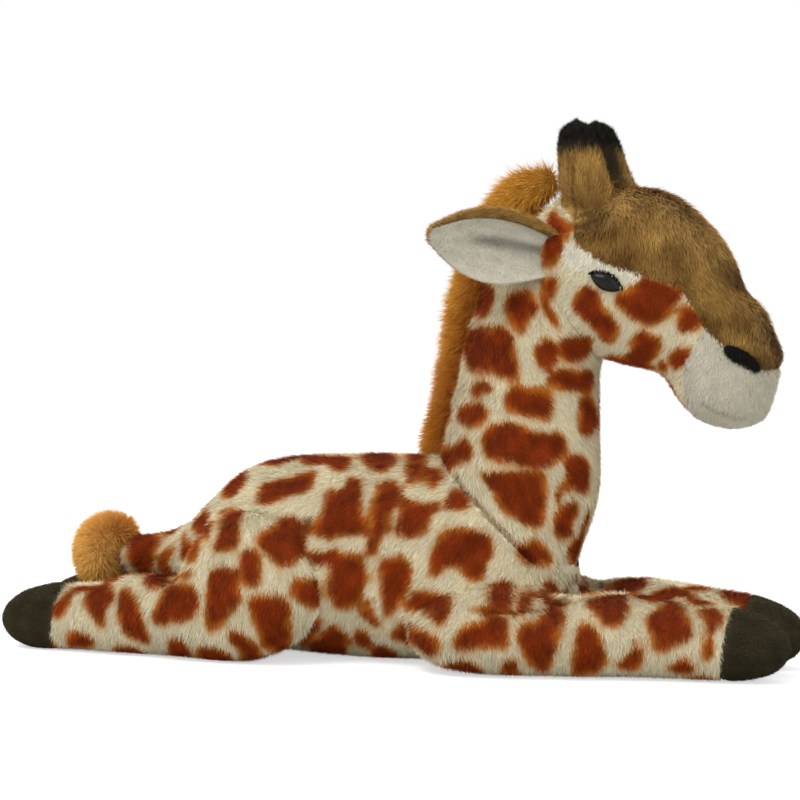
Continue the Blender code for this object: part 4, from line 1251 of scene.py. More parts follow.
def seen_by(tree, kinds):
    """One for rays of the given kinds, and nothing for others."""
    path = add_node(tree, "LightPath")
    found = path.outputs[f"Is {kinds[0]} Ray"]
    for kind in kinds[1:]:
        larger = add_node(tree, "Math", "MAXIMUM")
        link(tree, found, larger.inputs[0])
        link(tree, path.outputs[f"Is {kind} Ray"], larger.inputs[1])
        found = larger.outputs[0]
    return found


@functools.cache
def pile_tone_group():
    """A group that darkens pile towards its roots as painted shade and varies it, and gives a height for
    bumps.
    """
    tree = bpy.data.node_groups.new("pile_tone", "ShaderNodeTree")
    colour, number = "NodeSocketColor", "NodeSocketFloat"
    tree.interface.new_socket("Colour", in_out="INPUT", socket_type=colour)
    for name, default in (("Depth", 0.5), ("Root shade", 0.5), ("Grain", 900.0), ("Contrast", 0.2)):
        tree.interface.new_socket(name, in_out="INPUT", socket_type=number).default_value = default
    tree.interface.new_socket("Colour", in_out="OUTPUT", socket_type=colour)
    tree.interface.new_socket("Height", in_out="OUTPUT", socket_type=number)
    inputs = tree.nodes.new("NodeGroupInput")
    outputs = tree.nodes.new("NodeGroupOutput")
    coordinates = add_node(tree, "TexCoord")
    noise = add_node(tree, "TexNoise", values={"Detail": 3})
    root = add_node(tree, "MapRange")
    centred = add_node(tree, "Math", "SUBTRACT", {1: 0.5})
    spread = add_node(tree, "Math", "MULTIPLY_ADD", {2: 1})
    both = add_node(tree, "Math", "MULTIPLY")
    scaled = add_node(tree, "VectorMath", "SCALE")
    for source, target in (
        (coordinates.outputs["Object"], noise.inputs["Vector"]),
        (inputs.outputs["Grain"], noise.inputs["Scale"]),
        (inputs.outputs["Depth"], root.inputs["Value"]),
        (inputs.outputs["Root shade"], root.inputs["To Min"]),
        (noise.outputs["Fac"], centred.inputs[0]),
        (centred.outputs[0], spread.inputs[0]),
        (inputs.outputs["Contrast"], spread.inputs[1]),
        (root.outputs["Result"], both.inputs[0]),
        (spread.outputs[0], both.inputs[1]),
        (inputs.outputs["Colour"], scaled.inputs["Vector"]),
        (both.outputs[0], scaled.inputs["Scale"]),
        (scaled.outputs["Vector"], outputs.inputs["Colour"]),
        (noise.outputs["Fac"], outputs.inputs["Height"]),
    ):
        link(tree, source, target)
    return tree


# Kinds of pile: the shade of the roots, and what differs from the usual look
PILES = {
    "printed_pile": {"root_shade": 0.77},
    "velour": {"root_shade": 0.86},
    "silky_pile": {"root_shade": 0.74, "sheen": 0.08, "roughness": 0.7},
    "brush_pile": {"root_shade": 0.74, "sheen": 0.08},
    "black_pile": {"root_shade": 0.6, "sheen": 0.03},
    "hoof_velour": {
        "root_shade": 0.60, "sheen": 0.25, "grain": 700.0, "contrast": 0.8, "tint": (0.60, 0.52, 0.34)
    },
}
USUAL_PILE = {"sheen": 0.06, "grain": 900.0, "contrast": 0.2, "roughness": 0.85, "tint": (1, 1, 1)}


def pile_material(name):
    """A plush material that reads the pile's colour and depth."""
    if name in bpy.data.materials:
        return bpy.data.materials[name]
    look = {**USUAL_PILE, **PILES[name]}
    material, tree, shader = new_material(name)
    colour = add_node(tree, "Attribute")
    colour.attribute_name = "pile_colour"
    depth = add_node(tree, "Attribute")
    depth.attribute_name = "pile_depth"
    tone = tree.nodes.new("ShaderNodeGroup")
    tone.node_tree = pile_tone_group()
    set_inputs(tone, {"Root shade": look["root_shade"], "Grain": look["grain"], "Contrast": look["contrast"]})
    link(tree, colour.outputs["Color"], tone.inputs["Colour"])
    link(tree, depth.outputs["Fac"], tone.inputs["Depth"])
    link(tree, tone.outputs["Colour"], shader.inputs["Base Color"])
    add_bump(tree, tone.outputs["Height"], 0.1, 0.0005, shader)
    set_inputs(
        shader,
        {
            "Roughness": look["roughness"],
            "Specular IOR Level": 0.0,
            "Sheen Weight": look["sheen"],
            "Sheen Roughness": 0.5,
            "Sheen Tint": (*look["tint"], 1),
        },
    )
    return material


def flow_towards(points, direction):
    """The same direction at every point."""
    return np.broadcast_to(np.array(direction, float), points.shape).copy()


def everywhere(points):
    """The whole form."""
    return np.ones(points.shape[:-1], bool)


def clear_of(points, names, sunk=0.002, own=None):
    """Where points aren't sunk in the named forms, or where the own form stands out the most."""
    kept = everywhere(points)
    if own is not None and names:
        outside = distance_from(own, points)
    for name in names:
        limit = -sunk if own is None else outside - sunk
        kept &= distance_from(name, points) > limit
    return kept


def no_marks(points, normals):
    """Nothing printed."""
    return np.zeros((len(points), 1))


def plush_piece(
    name,
    form_name,
    paint,
    material,
    length,
    density,
    lean,
    direction,
    kept,
    marks=no_marks,
    bend=None,
    spread=0.22,
    depth=0.0016,
    neighbours=(),
    bare=None,
    jitter=0.08,
):
    """A stuffed piece: the part of a form's skin that is kept, with its pile.

    A blade lies over its neighbours, so it takes the print from under its middle. The marks are the
    distances from the print's outlines. The skin runs on a little under the neighbouring forms, where
    no blade grows, and none grows where bare says so.
    """
    settings = pile_settings()
    rng = np.random.default_rng(SEED + sum(map(ord, name)))
    surface = skin(form_name, depth)
    grid, grid_facing = surface.points.reshape(-1, 3), surface.normals.reshape(-1, 3)

    def heading(points):
        return direction(points) if callable(direction) else flow_towards(points, direction)

    def reach(points):
        return length(points) if callable(length) else np.full(len(points), length)

    lying = heading(grid)
    lying = unit(lying - grid_facing * (lying * grid_facing).sum(1)[:, None])
    middles = grid + lying * (0.45 * math.cos(lean) * reach(grid))[:, None]
    printed = marks(middles, grid_facing)
    roots, normals, places, carry = scattered(surface, density, rng)
    carried = carry(printed.reshape(*surface.points.shape[:2], -1))
    on = kept(roots) & clear_of(roots, neighbours, HAIR_SUNK, own=form_name)
    if bare is not None:
        on &= ~bare(roots)
    roots, normals, places, carried = roots[on], normals[on], places[on], carried[on]
    colours = paint(roots, normals, carried)
    skin_colours = paint(grid, grid_facing, printed)
    width = settings.blade_width
    hair = blades(
        roots, normals, heading(roots), colours, places, reach(roots), width, lean, rng, bend, spread, jitter
    )
    shown = kept(surface.points) & clear_of(surface.points, neighbours, SKIN_SUNK, own=form_name)
    return add_piece(name, [skin_part(surface, skin_colours, shown), hair], material)


def printed_cover(name, form_name, lean, direction, kept, **options):
    """A plush piece with the printed pile."""
    settings = pile_settings()
    material = pile_material("printed_pile")
    length, density = settings.short_length, settings.density
    marks = print_marks(form_name)
    return plush_piece(
        name, form_name, printed_colour, material, length, density, lean, direction, kept, marks, **options
    )


def joint_place(child):
    """Where the joint that carries a body is."""
    return np.array([joint for joint in frame["joints"] if joint["child"] == child][0]["pos_m"])


def swirl(points, direction, amount, seed):
    """A direction that wanders a little from place to place."""
    turn = np.stack([ripple(points, 0.045, seed + step) for step in range(3)], -1)
    return np.array(direction, float) + amount * turn


class GIRAFFE_OT_torso(bpy.types.Operator):
    """Build the body cover"""

    bl_idname = "giraffe.torso"
    bl_label = "Body"

    def execute(self, context):
        others = ("neck", "tail", "front_leg_right", "front_leg_left", "hind_leg_right", "hind_leg_left")
        piece = printed_cover(
            "torso_plush",
            "torso",
            0.42,
            lambda points: swirl(points, (-0.45, 0, -1), 0.25, SEED + 20),
            everywhere,
            neighbours=others,
            depth=0.0011,
        )
        set_on(piece, ["torso_cover"], "torso")
        return {"FINISHED"}


class GIRAFFE_OT_neck(bpy.types.Operator):
    """Build the neck cover"""

    bl_idname = "giraffe.neck"
    bl_label = "Neck"

    def execute(self, context):
        piece = printed_cover(
            "neck_plush",
            "neck",
            0.42,
            lambda points: swirl(points, (0.35, 0, -0.8), 0.25, SEED + 30),
            everywhere,
            neighbours=("torso", "head"),
        )
        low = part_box("neck_cover")[0]
        start, end = (0, 0, low.z - 0.004), (0, 0, low.z + 0.030)
        set_on(piece, ["neck_cover"], "neck", ("torso", start, end))
        return {"FINISHED"}


def forehead_colour(points, normals, marks):
    """Tan silky pile with darker streaks, a painted highlight where it faces up, and a dark rim along the
    seam.
    """
    fine = ripple(points * (1, 1, 0.5), 0.005, SEED + 40)
    broad = ripple(points, 0.024, SEED + 41)
    streak = 0.74 + 0.18 * fine + 0.46 * broad
    # Painted highlight: the pile is lighter where it faces upwards
    streak = streak - 0.30 * smooth_step(0.3, 0.9, normals[:, 2])
    edge = smooth_step(0.006, 0.0005, -head_panel_distance(points)[0])
    return blend_colours(shade("tan"), shade("umber"), np.clip(streak * 0.75 + 0.25 * edge, 0, 1))


def silky_lengths(points):
    """The silky pile, clipped short towards the seams with the face and the muzzle."""
    inside = -head_panel_distance(points)[0]
    return pile_settings().silky_length * (0.45 + 0.55 * smooth_step(0.001, 0.010, inside))


def forehead_flow(points):
    """From the ridge down both sides and forwards, with locks that wander."""
    side = np.sign(points[:, 1:2]) * np.array((0, 0.5, 0))
    return swirl(points, (0.35, 0, -0.8), 0.30, SEED + 42) + side


@functools.cache
def brow_spots():
    """The white brow of each side."""
    brow = anchored_spot(form_surface(forms()["head"], BROW_CELL), BROW_SPOT)
    return brow, mirrored(brow)


def face_marks(points, normals):
    """The marks of the face's spots and of its brows."""
    spots = spot_distance(points, normals, printed_spots("head"))
    return np.column_stack((spots, np.zeros(len(points)), spot_distance(points, normals, brow_spots())))


def face_colour(points, normals, marks):
    """The printed plush with a white brow above the eye."""
    brow = smooth_step(0.0006, -0.0008, marks[:, 2])
    return blend_colours(printed_colour(points, normals, marks), shade("white"), brow)


def mouth_marks(points, normals):
    """The distance from the mouth's stitched line."""
    corners = np.array(MOUTH_LINE, float).reshape(-1, 2)
    closed = np.concatenate((corners, corners[-2:0:-1]))
    line = anchored_spot(form_surface(forms()["head"], BROW_CELL), closed)
    return spot_distance(points, normals, [line, mirrored(line)])[:, None]


def muzzle_colour(points, normals, marks):
    """White velour, with a little painted shade along the mouth's stitched crease."""
    line = np.exp(-((marks[:, :1] / 0.0009) ** 2))
    # Painted shade along the mouth's crease
    tone = (1 + 0.03 * ripple(points, 0.008, SEED + 44)[:, None]) * (1 - 0.22 * line)
    return shade("white") * 0.93 * tone


class GIRAFFE_OT_head(bpy.types.Operator):
    """Build the face, the forehead and the muzzle"""

    bl_idname = "giraffe.head"
    bl_label = "Head"

    def execute(self, context):
        settings = pile_settings()

        def on_face(points):
            forehead, muzzle = head_panel_distance(points)
            return (forehead > -0.0008) & (muzzle > -0.0004)

        def on_muzzle(points):
            forehead, muzzle = head_panel_distance(points)
            return (muzzle < 0.0006) & (forehead > -0.0006)

        def under_eye(points):
            covered = np.zeros(points.shape[:-1], bool)
            for hand in SIDE_NAMES:
                centre, normal = eye_place(hand)
                along, upward = tilted_frame(normal, EYE_SLOPE)
                offset = points - centre
                share = np.hypot(offset @ along / (EYE_WIDTH / 2), offset @ upward / (EYE_HEIGHT / 2))
                covered |= (share < 0.80) & (points[..., 1] * hand > 0)
            return covered

        face = plush_piece(
            "face_plush",
            "head",
            face_colour,
            pile_material("printed_pile"),
            settings.short_length * 0.8,
            settings.density * 1.1,
            0.38,
            lambda points: swirl(points, (-0.4, 0, -0.8), 0.25, SEED + 43),
            on_face,
            face_marks,
            neighbours=("neck",),
            bare=under_eye,
        )
        set_on(face, ["face_cover"], "head")
        forehead = plush_piece(
            "forehead_plush",
            "head",
            forehead_colour,
            pile_material("silky_pile"),
            silky_lengths,
            settings.density * 1.1,
            0.50,
            forehead_flow,
            lambda points: head_panel_distance(points)[0] < 0.0006,
            bend=0.5,
            spread=0.13,
        )
        set_on(forehead, ["forehead_panel"], "head")
        muzzle = plush_piece(
            "muzzle_plush",
            "head",
            muzzle_colour,
            pile_material("velour"),
            settings.velour_length * 1.3,
            settings.density * 1.6,
            0.60,
            (-0.3, 0, -1),
            on_muzzle,
            mouth_marks,
            depth=0.0014,
            spread=0.30,
            jitter=0.03,
        )
        set_on(muzzle, ["muzzle_cover"], "head")
        return {"FINISHED"}


def leg_piece(kind, hand):
    """A leg's printed cover and its dark hoof."""
    settings = pile_settings()
    name = f"{kind}_{SIDE_NAMES[hand]}"
    toes = hoof_line(name)[1]
    forwards = toes * 0.05
    cover = printed_cover(
        f"{name}_plush",
        name,
        0.40,
        lambda points: swirl(points, (forwards, 0, -1), 0.25, SEED + 50),
        lambda points: hoof_reach(points, name) < 0.0012,
        neighbours=("torso",),
        bare=lambda points: hoof_reach(points, name) > -0.0004,
    )
    ahead = joint_place(name) + (toes * 0.034, 0, 0)
    start = joint_place(name) - (toes * 0.014, 0, 0)
    cover_node = f"{kind}_cover_{SIDE_NAMES[hand]}"
    set_on(cover, [cover_node], name, ("torso", start, ahead))

    def velour(points, normals, marks):
        # Painted highlight: the seams round the hoof and over its toe are lighter
        line = hoof_seam(points, name)
        tone = 1 + 0.12 * ripple(points, 0.010, SEED + 51)
        return blend_colours(shade("charcoal") * tone[:, None], shade("charcoal") * 1.6, 0.6 * line)

    hoof_node = f"{kind.replace('leg', 'hoof')}_{SIDE_NAMES[hand]}"
    hoof = plush_piece(
        f"{hoof_node}_plush",
        name,
        velour,
        pile_material("hoof_velour"),
        settings.velour_length,
        settings.density * 1.5,
        0.55,
        (toes * 0.6, 0, -0.8),
        lambda points: hoof_reach(points, name) > -0.0006,
        depth=0.0010,
    )
    set_on(hoof, [hoof_node], name)


class GIRAFFE_OT_front_legs(bpy.types.Operator):
    """Build the front legs with their hooves"""

    bl_idname = "giraffe.front_legs"
    bl_label = "Front legs"

    def execute(self, context):
        for hand in SIDE_NAMES:
            leg_piece("front_leg", hand)
        return {"FINISHED"}


class GIRAFFE_OT_hind_legs(bpy.types.Operator):
    """Build the hind legs with their hooves"""

    bl_idname = "giraffe.hind_legs"
    bl_label = "Hind legs"

    def execute(self, context):
        for hand in SIDE_NAMES:
            leg_piece("hind_leg", hand)
        return {"FINISHED"}


class GIRAFFE_OT_tail(bpy.types.Operator):
    """Build the tail and its tuft"""

    bl_idname = "giraffe.tail"
    bl_label = "Tail"

    def execute(self, context):
        settings = pile_settings()
        end = forms()["tail"].centres[-1]
        tail = printed_cover(
            "tail_plush",
            "tail",
            0.40,
            lambda points: swirl(points, (-0.6, 0, -0.8), 0.2, SEED + 60),
            lambda points: form_distance(forms()["tuft"], points) > -0.013,
            neighbours=("torso",),
        )
        start, stop = joint_place("tail") + (0.012, 0, 0), joint_place("tail") - (0.020, 0, 0)
        set_on(tail, ["tail_cover"], "tail", ("torso", start, stop))

        def tuft_colour(points, normals, marks):
            share = smooth_step(0.000, 0.022, points[:, 0] - end[0] + 0.3 * np.abs(points[:, 2] - end[2]))
            share = np.clip(share + 0.12 * ripple(points, 0.010, SEED + 61), 0, 1)
            return blend_colours(shade("tuft"), shade("tuft_root"), share)

        tuft = plush_piece(
            "tail_tuft_pile",
            "tuft",
            tuft_colour,
            pile_material("brush_pile"),
            settings.brush_length,
            settings.density * 1.4,
            1.15,
            (-0.5, 0, -0.5),
            lambda points: form_distance(forms()["tail"], points) > -0.001,
            depth=0.0030,
            spread=0.30,
        )
        set_on(tuft, ["tail_tuft"], "tail")
        return {"FINISHED"}


class GIRAFFE_OT_mane(bpy.types.Operator):
    """Build the mane"""

    bl_idname = "giraffe.mane"
    bl_label = "Mane"

    def execute(self, context):
        settings = pile_settings()

        def mane_colour(points, normals, marks):
            # Painted shade: darker near the neck, deep in the brush, and lighter at its outer edge
            away = form_distance(forms()["neck"], points)
            share = smooth_step(0.0, 0.012, away + 0.002 * ripple(points, 0.012, SEED + 70))
            return blend_colours(shade("mane_root"), shade("mane_tip"), share)

        def outward(points):
            return np.array((-0.8, 0, -0.5)) + np.zeros_like(points)

        piece = plush_piece(
            "mane_pile",
            "mane",
            mane_colour,
            pile_material("brush_pile"),
            lambda points: settings.brush_length * (1.25 + 0.2 * ripple(points, 0.006, SEED + 71)),
            settings.density * 1.4,
            0.75,
            outward,
            lambda points: clear_of(points, ("neck", "torso", "head"), 0.003),
            depth=0.0036,
            spread=0.30,
        )
        set_on(piece, ["mane"], "neck")
        return {"FINISHED"}


class GIRAFFE_OT_horns(bpy.types.Operator):
    """Build the horns with their black tips"""

    bl_idname = "giraffe.horns"
    bl_label = "Horns"

    def execute(self, context):
        settings = pile_settings()
        for hand, side in SIDE_NAMES.items():
            name = f"horn_{side}"
            seam = head_place(HORN_ROOT_SHARES, hand)[2] + HORN_SPAN[2] - HORN_TIP_LENGTH
            middle = head_place(HORN_ROOT_SHARES, hand)[:2]

            def horn_colour(points, normals, marks):
                """Light tan, darkened by painted shade towards the other horn, with a dark seam up the outer
                side.
                """
                streak = 0.35 + 0.35 * ripple(points * (1, 1, 0.2), 0.005, SEED + 80)
                outward = normals[:, 1] * hand
                above = points[:, 2] - seam
                # Painted shade on the side that faces the other horn
                inner = smooth_step(0.15, 0.75, -outward) * smooth_step(-0.034, -0.012, above)
                line = np.exp(-(((points[:, 0] - middle[0] + 0.0045) / 0.0006) ** 2)) * (outward > 0.2)
                dark = np.clip(np.maximum(streak * 0.7, 0.85 * line), 0, 1)
                top = smooth_step(-0.0060, 0.0010, above + 0.0015 * ripple(points, 0.004, SEED + 82))
                black = np.maximum(0.8 * inner, 0.9 * top)
                return blend_colours(blend_colours(shade("tan"), shade("umber"), dark), shade("black"), black)

            def tip_colour(points, normals, marks):
                return shade("black") * (1.1 + 0.3 * ripple(points, 0.005, SEED + 81)[:, None])

            cover = plush_piece(
                f"{name}_plush",
                name,
                horn_colour,
                pile_material("silky_pile"),
                settings.short_length,
                settings.density * 1.2,
                0.30,
                (0, 0, 1),
                lambda points: (points[..., 2] < seam + 0.0006) & clear_of(points, ("head",), 0.004),
                bend=0.3,
                depth=0.0014,
                bare=lambda points: horn_root(points) > 0.7,
            )
            set_on(cover, [f"horn_cover_{side}"], "head")
            tip = plush_piece(
                f"horn_tip_{side}_plush",
                name,
                tip_colour,
                pile_material("black_pile"),
                settings.short_length * 0.8,
                settings.density * 1.4,
                0.45,
                (0, 0, 1),
                lambda points: points[..., 2] > seam - 0.0006,
                depth=0.0014,
            )
            set_on(tip, [f"horn_tip_{side}"], "head")
        return {"FINISHED"}


def ear_directions(hand):
    """Unit vectors along the ear, up across it and out of its lined side."""
    along = unit(np.array(EAR_ALONG) * (1, hand, 1))
    facing = unit(np.array(EAR_FACING) * (1, hand, 1))
    facing = unit(facing - along * (facing @ along))
    across = np.cross(along, facing)
    return along, across * np.sign(across[2]), facing


def ear_surface(hand, low, high, fold, lower=-1.0, upper=1.0):
    """One leaf of an ear as a closed tube: its face, then its back, both cupped, with the upper rim curled.

    The rows run along the ear. The half width follows the width table, and the cup is a parabola across.
    """
    along, across, facing = ear_directions(hand)
    table = np.array(EAR_SHARES)
    table = np.concatenate((table[:1], table[:1], table, table[-1:], table[-1:]))
    lengths, widths = (spline_weights(len(table), EAR_ROWS, False) @ table).T
    steps = np.linspace(lower, upper, EAR_COLUMNS)
    front = np.concatenate((steps, steps[::-1]))
    level = np.repeat((high, low), EAR_COLUMNS)
    share = front[None, :]
    half = (EAR_WIDTH / 2 * widths)[:, None]
    cup = EAR_CUP * widths[:, None] * (1 - share**2)
    curl = EAR_CURL * smooth_step(0.45, 1.0, share) * smooth_step(1.0, 0.2, lengths)[:, None]
    crease = fold * np.exp(-(((share + 0.02) / 0.10) ** 2)) * smooth_step(0.72, 0.45, lengths)[:, None]
    crease = crease * (level > 0)
    root = head_place(EAR_ROOT_SHARES, hand)
    points = root + along * (EAR_LENGTH * lengths)[:, None, None] + across * (half * share)[..., None]
    points = points + facing * (level - cup + curl - crease)[..., None]
    closed = np.concatenate((points[:1].mean(1, keepdims=True).repeat(points.shape[1], 1), points))
    closed = np.concatenate((closed, points[-1:].mean(1, keepdims=True).repeat(points.shape[1], 1)))
    return Surface(None, closed, grid_normals(closed))


def ear_piece(name, surface, paint, material, length, density, direction):
    """An ear's leaf with its pile."""
    settings = pile_settings()
    rng = np.random.default_rng(SEED + sum(map(ord, name)))
    roots, normals, places, _ = scattered(surface, density, rng)
    flat = surface.points.reshape(-1, 3)
    flow = flow_towards(roots, direction)
    width = settings.blade_width
    hair = blades(roots, normals, flow, paint(roots), places, length, width, 0.4, rng, jitter=0.04)
    return add_piece(name, [skin_part(surface, paint(flat)), hair], material)


class GIRAFFE_OT_ears(bpy.types.Operator):
    """Build the ears"""

    bl_idname = "giraffe.ears"
    bl_label = "Ears"

    def execute(self, context):
        settings = pile_settings()
        for hand, side in SIDE_NAMES.items():
            along, across, _ = ear_directions(hand)
            root = head_place(EAR_ROOT_SHARES, hand)

            def lining_colour(points):
                share = (points - root) @ across / (EAR_WIDTH / 2)
                reach = (points - root) @ along / EAR_LENGTH
                # Painted shade in the lining's fold
                crease = np.exp(-(((share + 0.02) / 0.14) ** 2)) * smooth_step(0.78, 0.45, reach)
                fibre = 1 + 0.04 * ripple(points, 0.006, SEED + 92)[..., None]
                return blend_colours(shade("white") * 0.90, shade("white") * 0.52, 0.62 * crease) * fibre

            def cover_colour(points):
                streak = 0.5 + 0.5 * ripple(points, 0.008, SEED + 90)
                return blend_colours(shade("tan"), shade("umber"), np.clip(streak, 0, 1) * 0.3) * 1.05

            cover = ear_piece(
                f"ear_cover_{side}_plush",
                ear_surface(hand, -0.0020, -0.0002, 0, lower=-0.96),
                cover_colour,
                pile_material("silky_pile"),
                settings.velour_length * 1.5,
                settings.density * 1.3,
                along,
            )
            set_on(cover, [f"ear_cover_{side}"], f"ear_{side}")
            lining = ear_piece(
                f"ear_lining_{side}_plush",
                ear_surface(hand, 0.0001, 0.0016, 0.0010, upper=0.62),
                lining_colour,
                pile_material("velour"),
                settings.velour_length * 0.8,
                settings.density * 1.6,
                along,
            )
            set_on(lining, [f"ear_lining_{side}"], f"ear_{side}")
        return {"FINISHED"}


def head_surface_place(shares, hand):
    """The point of the head's skin nearest to shares of its span, and the normal there."""
    surface = skin("head", 0.0016)
    points = surface.points.reshape(-1, 3)
    wanted = head_place(shares, hand)
    side = points[:, 1] * hand > 0.004
    miss = (points[:, 0] - wanted[0]) ** 2 + (points[:, 2] - wanted[2]) ** 2 + np.where(side, 0, 1)
    index = miss.argmin()
    return points[index], surface.normals.reshape(-1, 3)[index]


def eye_place(hand):
    """Where an eye sits, and which way it looks."""
    return head_surface_place(EYE_SHARES, hand)


def tilted_frame(normal, slope):
    """Directions on a face of the head: forwards and down by the slope, and up across that."""
    along = unit(np.array((math.cos(slope), 0, -math.sin(slope))))
    along = unit(along - normal * (along @ normal))
    upward = np.cross(normal, along)
    return along, upward * np.sign(upward[2])


def dome_surface(centre, normal, along, upward, sizes, proud, back, pointed=0.0):
    """A low dome as a closed tube of elliptic rings, whose width follows a quarter circle."""
    angle = np.linspace(0, math.pi / 2, 18)
    radius = np.concatenate((np.sin(angle), np.linspace(1, 0, 6)[1:]))
    height = np.concatenate((np.cos(angle) * proud, np.full(5, -back)))
    turn = np.linspace(0, 2 * math.pi, 48, endpoint=False)
    lens = np.sin(turn) * (1 - pointed * np.cos(turn) ** 2)
    wide = along * (np.cos(turn)[None, :, None] * radius[:, None, None] * sizes[0] / 2)
    high = upward * (lens[None, :, None] * radius[:, None, None] * sizes[1] / 2)
    points = centre + wide + high + normal * height[:, None, None]
    return Surface(None, points, grid_normals(points))


class GIRAFFE_OT_eyes(bpy.types.Operator):
    """Build the eyes with their lashes"""

    bl_idname = "giraffe.eyes"
    bl_label = "Eyes"

    def execute(self, context):
        for hand, side in SIDE_NAMES.items():
            centre, normal = eye_place(hand)
            along, upward = tilted_frame(normal, EYE_SLOPE)
            sizes = (EYE_WIDTH * 1.08, EYE_HEIGHT * 0.86)
            dome = dome_surface(centre, normal, along, upward, sizes, EYE_PROUD, 0.001, EYE_POINTED)
            colours = np.broadcast_to(shade("slate"), dome.points.shape).copy()
            eye = add_piece(f"eye_{side}_dome", [skin_part(dome, colours)], eye_material())
            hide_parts(f"eye_{side}")
            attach(eye, "head")
            rng = np.random.default_rng(SEED + hand)
            turn = rng.uniform(math.radians(-4), math.radians(184), LASH_COUNT)
            reach = rng.uniform(0.97, 1.02, (LASH_COUNT, 1))
            lens = np.sin(turn) * (1 - EYE_POINTED * np.cos(turn) ** 2)
            rim = along * (np.cos(turn) * sizes[0] / 2)[:, None] + upward * (lens * sizes[1] / 2)[:, None]
            roots = centre + rim * reach + normal * 0.0006
            outward = unit(rim)
            normals = np.broadcast_to(normal, roots.shape)
            places = rng.random((LASH_COUNT, 2)) * 0.9
            colour = np.broadcast_to(shade("black"), roots.shape)
            flow = outward + along * 0.3
            lashes = blades(
                roots, normals, flow, colour, places, LASH_LENGTH, LASH_WIDTH, 0.8, rng, bend=0.4
            )
            fringe = add_piece(f"lashes_{side}", [lashes], pile_material("black_pile"))
            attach(fringe, "head")
        return {"FINISHED"}


class GIRAFFE_OT_nose(bpy.types.Operator):
    """Build the nose patches"""

    bl_idname = "giraffe.nose"
    bl_label = "Nose patches"

    def execute(self, context):
        settings = pile_settings()
        for hand, side in SIDE_NAMES.items():
            centre, normal = head_surface_place(NOSE_SHARES, hand)
            along, upward = tilted_frame(normal, NOSE_SLOPE)
            base = centre + normal * 0.0008
            pad = dome_surface(base, normal, along, upward, NOSE_SIZES, NOSE_PROUD, 0.0010)
            rng = np.random.default_rng(SEED + 5 + hand)
            roots, normals, places, _ = scattered(pad, settings.density * 1.8, rng)
            colour = np.broadcast_to(shade("black"), roots.shape)
            flow = flow_towards(roots, (0.2, 0, -1))
            hair = blades(roots, normals, flow, colour, places, 0.0030, settings.blade_width, 0.5, rng)
            flat = np.broadcast_to(shade("black"), pad.points.shape).copy()
            piece = add_piece(
                f"nose_patch_{side}_plush", [skin_part(pad, flat), hair], pile_material("black_pile")
            )
            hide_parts(f"nose_patch_{side}")
            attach(piece, "head")
        return {"FINISHED"}


def eye_material():
    """Dark slate plastic under a clear gloss, with faint clouds."""
    if "eye_gloss" in bpy.data.materials:
        return bpy.data.materials["eye_gloss"]
    material, tree, shader = new_material("eye_gloss")
    noise = add_node(tree, "TexNoise", values={"Scale": 400})
    coordinates = add_node(tree, "TexCoord")
    link(tree, coordinates.outputs["Object"], noise.inputs["Vector"])
    slate = linear(shade("slate"))
    add_ramp(tree, noise.outputs["Fac"], slate * 0.7, slate * 1.3, shader)
    rough = add_node(tree, "MapRange", values={"To Min": 0.20, "To Max": 0.32})
    link(tree, noise.outputs["Fac"], rough.inputs["Value"])
    link(tree, rough.outputs["Result"], shader.inputs["Roughness"])
    set_inputs(shader, {"Specular IOR Level": 0.12, "Coat Weight": 0.05, "Coat Roughness": 0.08})
    return material


def add_ramp(tree, share, dark, light, shader):
    """A shader's colour from dark to light along a share."""
    ramp = add_node(tree, "ValToRGB")
    for stop, colour in zip(ramp.color_ramp.elements, (dark, light)):
        stop.color = (*colour, 1)
    link(tree, share, ramp.inputs["Fac"])
    link(tree, ramp.outputs["Color"], shader.inputs["Base Color"])


def inner_material(name, light, dark, scale, roughness, wave):
    """A material for what is inside: fibre, woven cloth or moulded plastic, from noise or from a weave."""
    material, tree, shader = new_material(name)
    coordinates = add_node(tree, "TexCoord")
    pattern = add_node(tree, "TexWave" if wave else "TexNoise", values={"Scale": scale, "Detail": 4})
    link(tree, coordinates.outputs["Object"], pattern.inputs["Vector"])
    add_ramp(tree, pattern.outputs["Fac"], dark, light, shader)
    add_bump(tree, pattern.outputs["Fac"], 0.4, 0.0008, shader)
    set_inputs(shader, {"Roughness": roughness})
    return material


class GIRAFFE_OT_inside(bpy.types.Operator):
    """Finish the fillings, the pellet bag and the eye washers"""

    bl_idname = "giraffe.inside"
    bl_label = "Inside"

    def execute(self, context):
        fibre = inner_material("filling_fibre", (0.86, 0.86, 0.84), (0.62, 0.62, 0.60), 260, 0.95, False)
        cloth = inner_material("bag_cloth", (0.80, 0.78, 0.72), (0.60, 0.58, 0.52), 900, 0.85, True)
        plastic = inner_material("washer_plastic", (0.74, 0.74, 0.72), (0.66, 0.66, 0.64), 700, 0.45, False)
        for name, (form_name, cutters) in FILLED.items():
            surface = skin(form_name, FILLING_DEPTH)
            kept = clear_of(surface.points, cutters, own=form_name)
            inner = skin_part(surface, np.ones(surface.points.shape), kept)
            body = form_name if "leg" in form_name else "head"
            set_on(add_piece(f"{name}_fibre", [inner], fibre), [name], body)
        for name, node in frame["nodes"].items():
            if "filling" in name:
                finish = fibre
            elif name == "pellet_bag":
                finish = cloth
            elif "washer" in name:
                finish = plastic
            else:
                continue
            for place in node.material_slots:
                place.material = finish
        return {"FINISHED"}


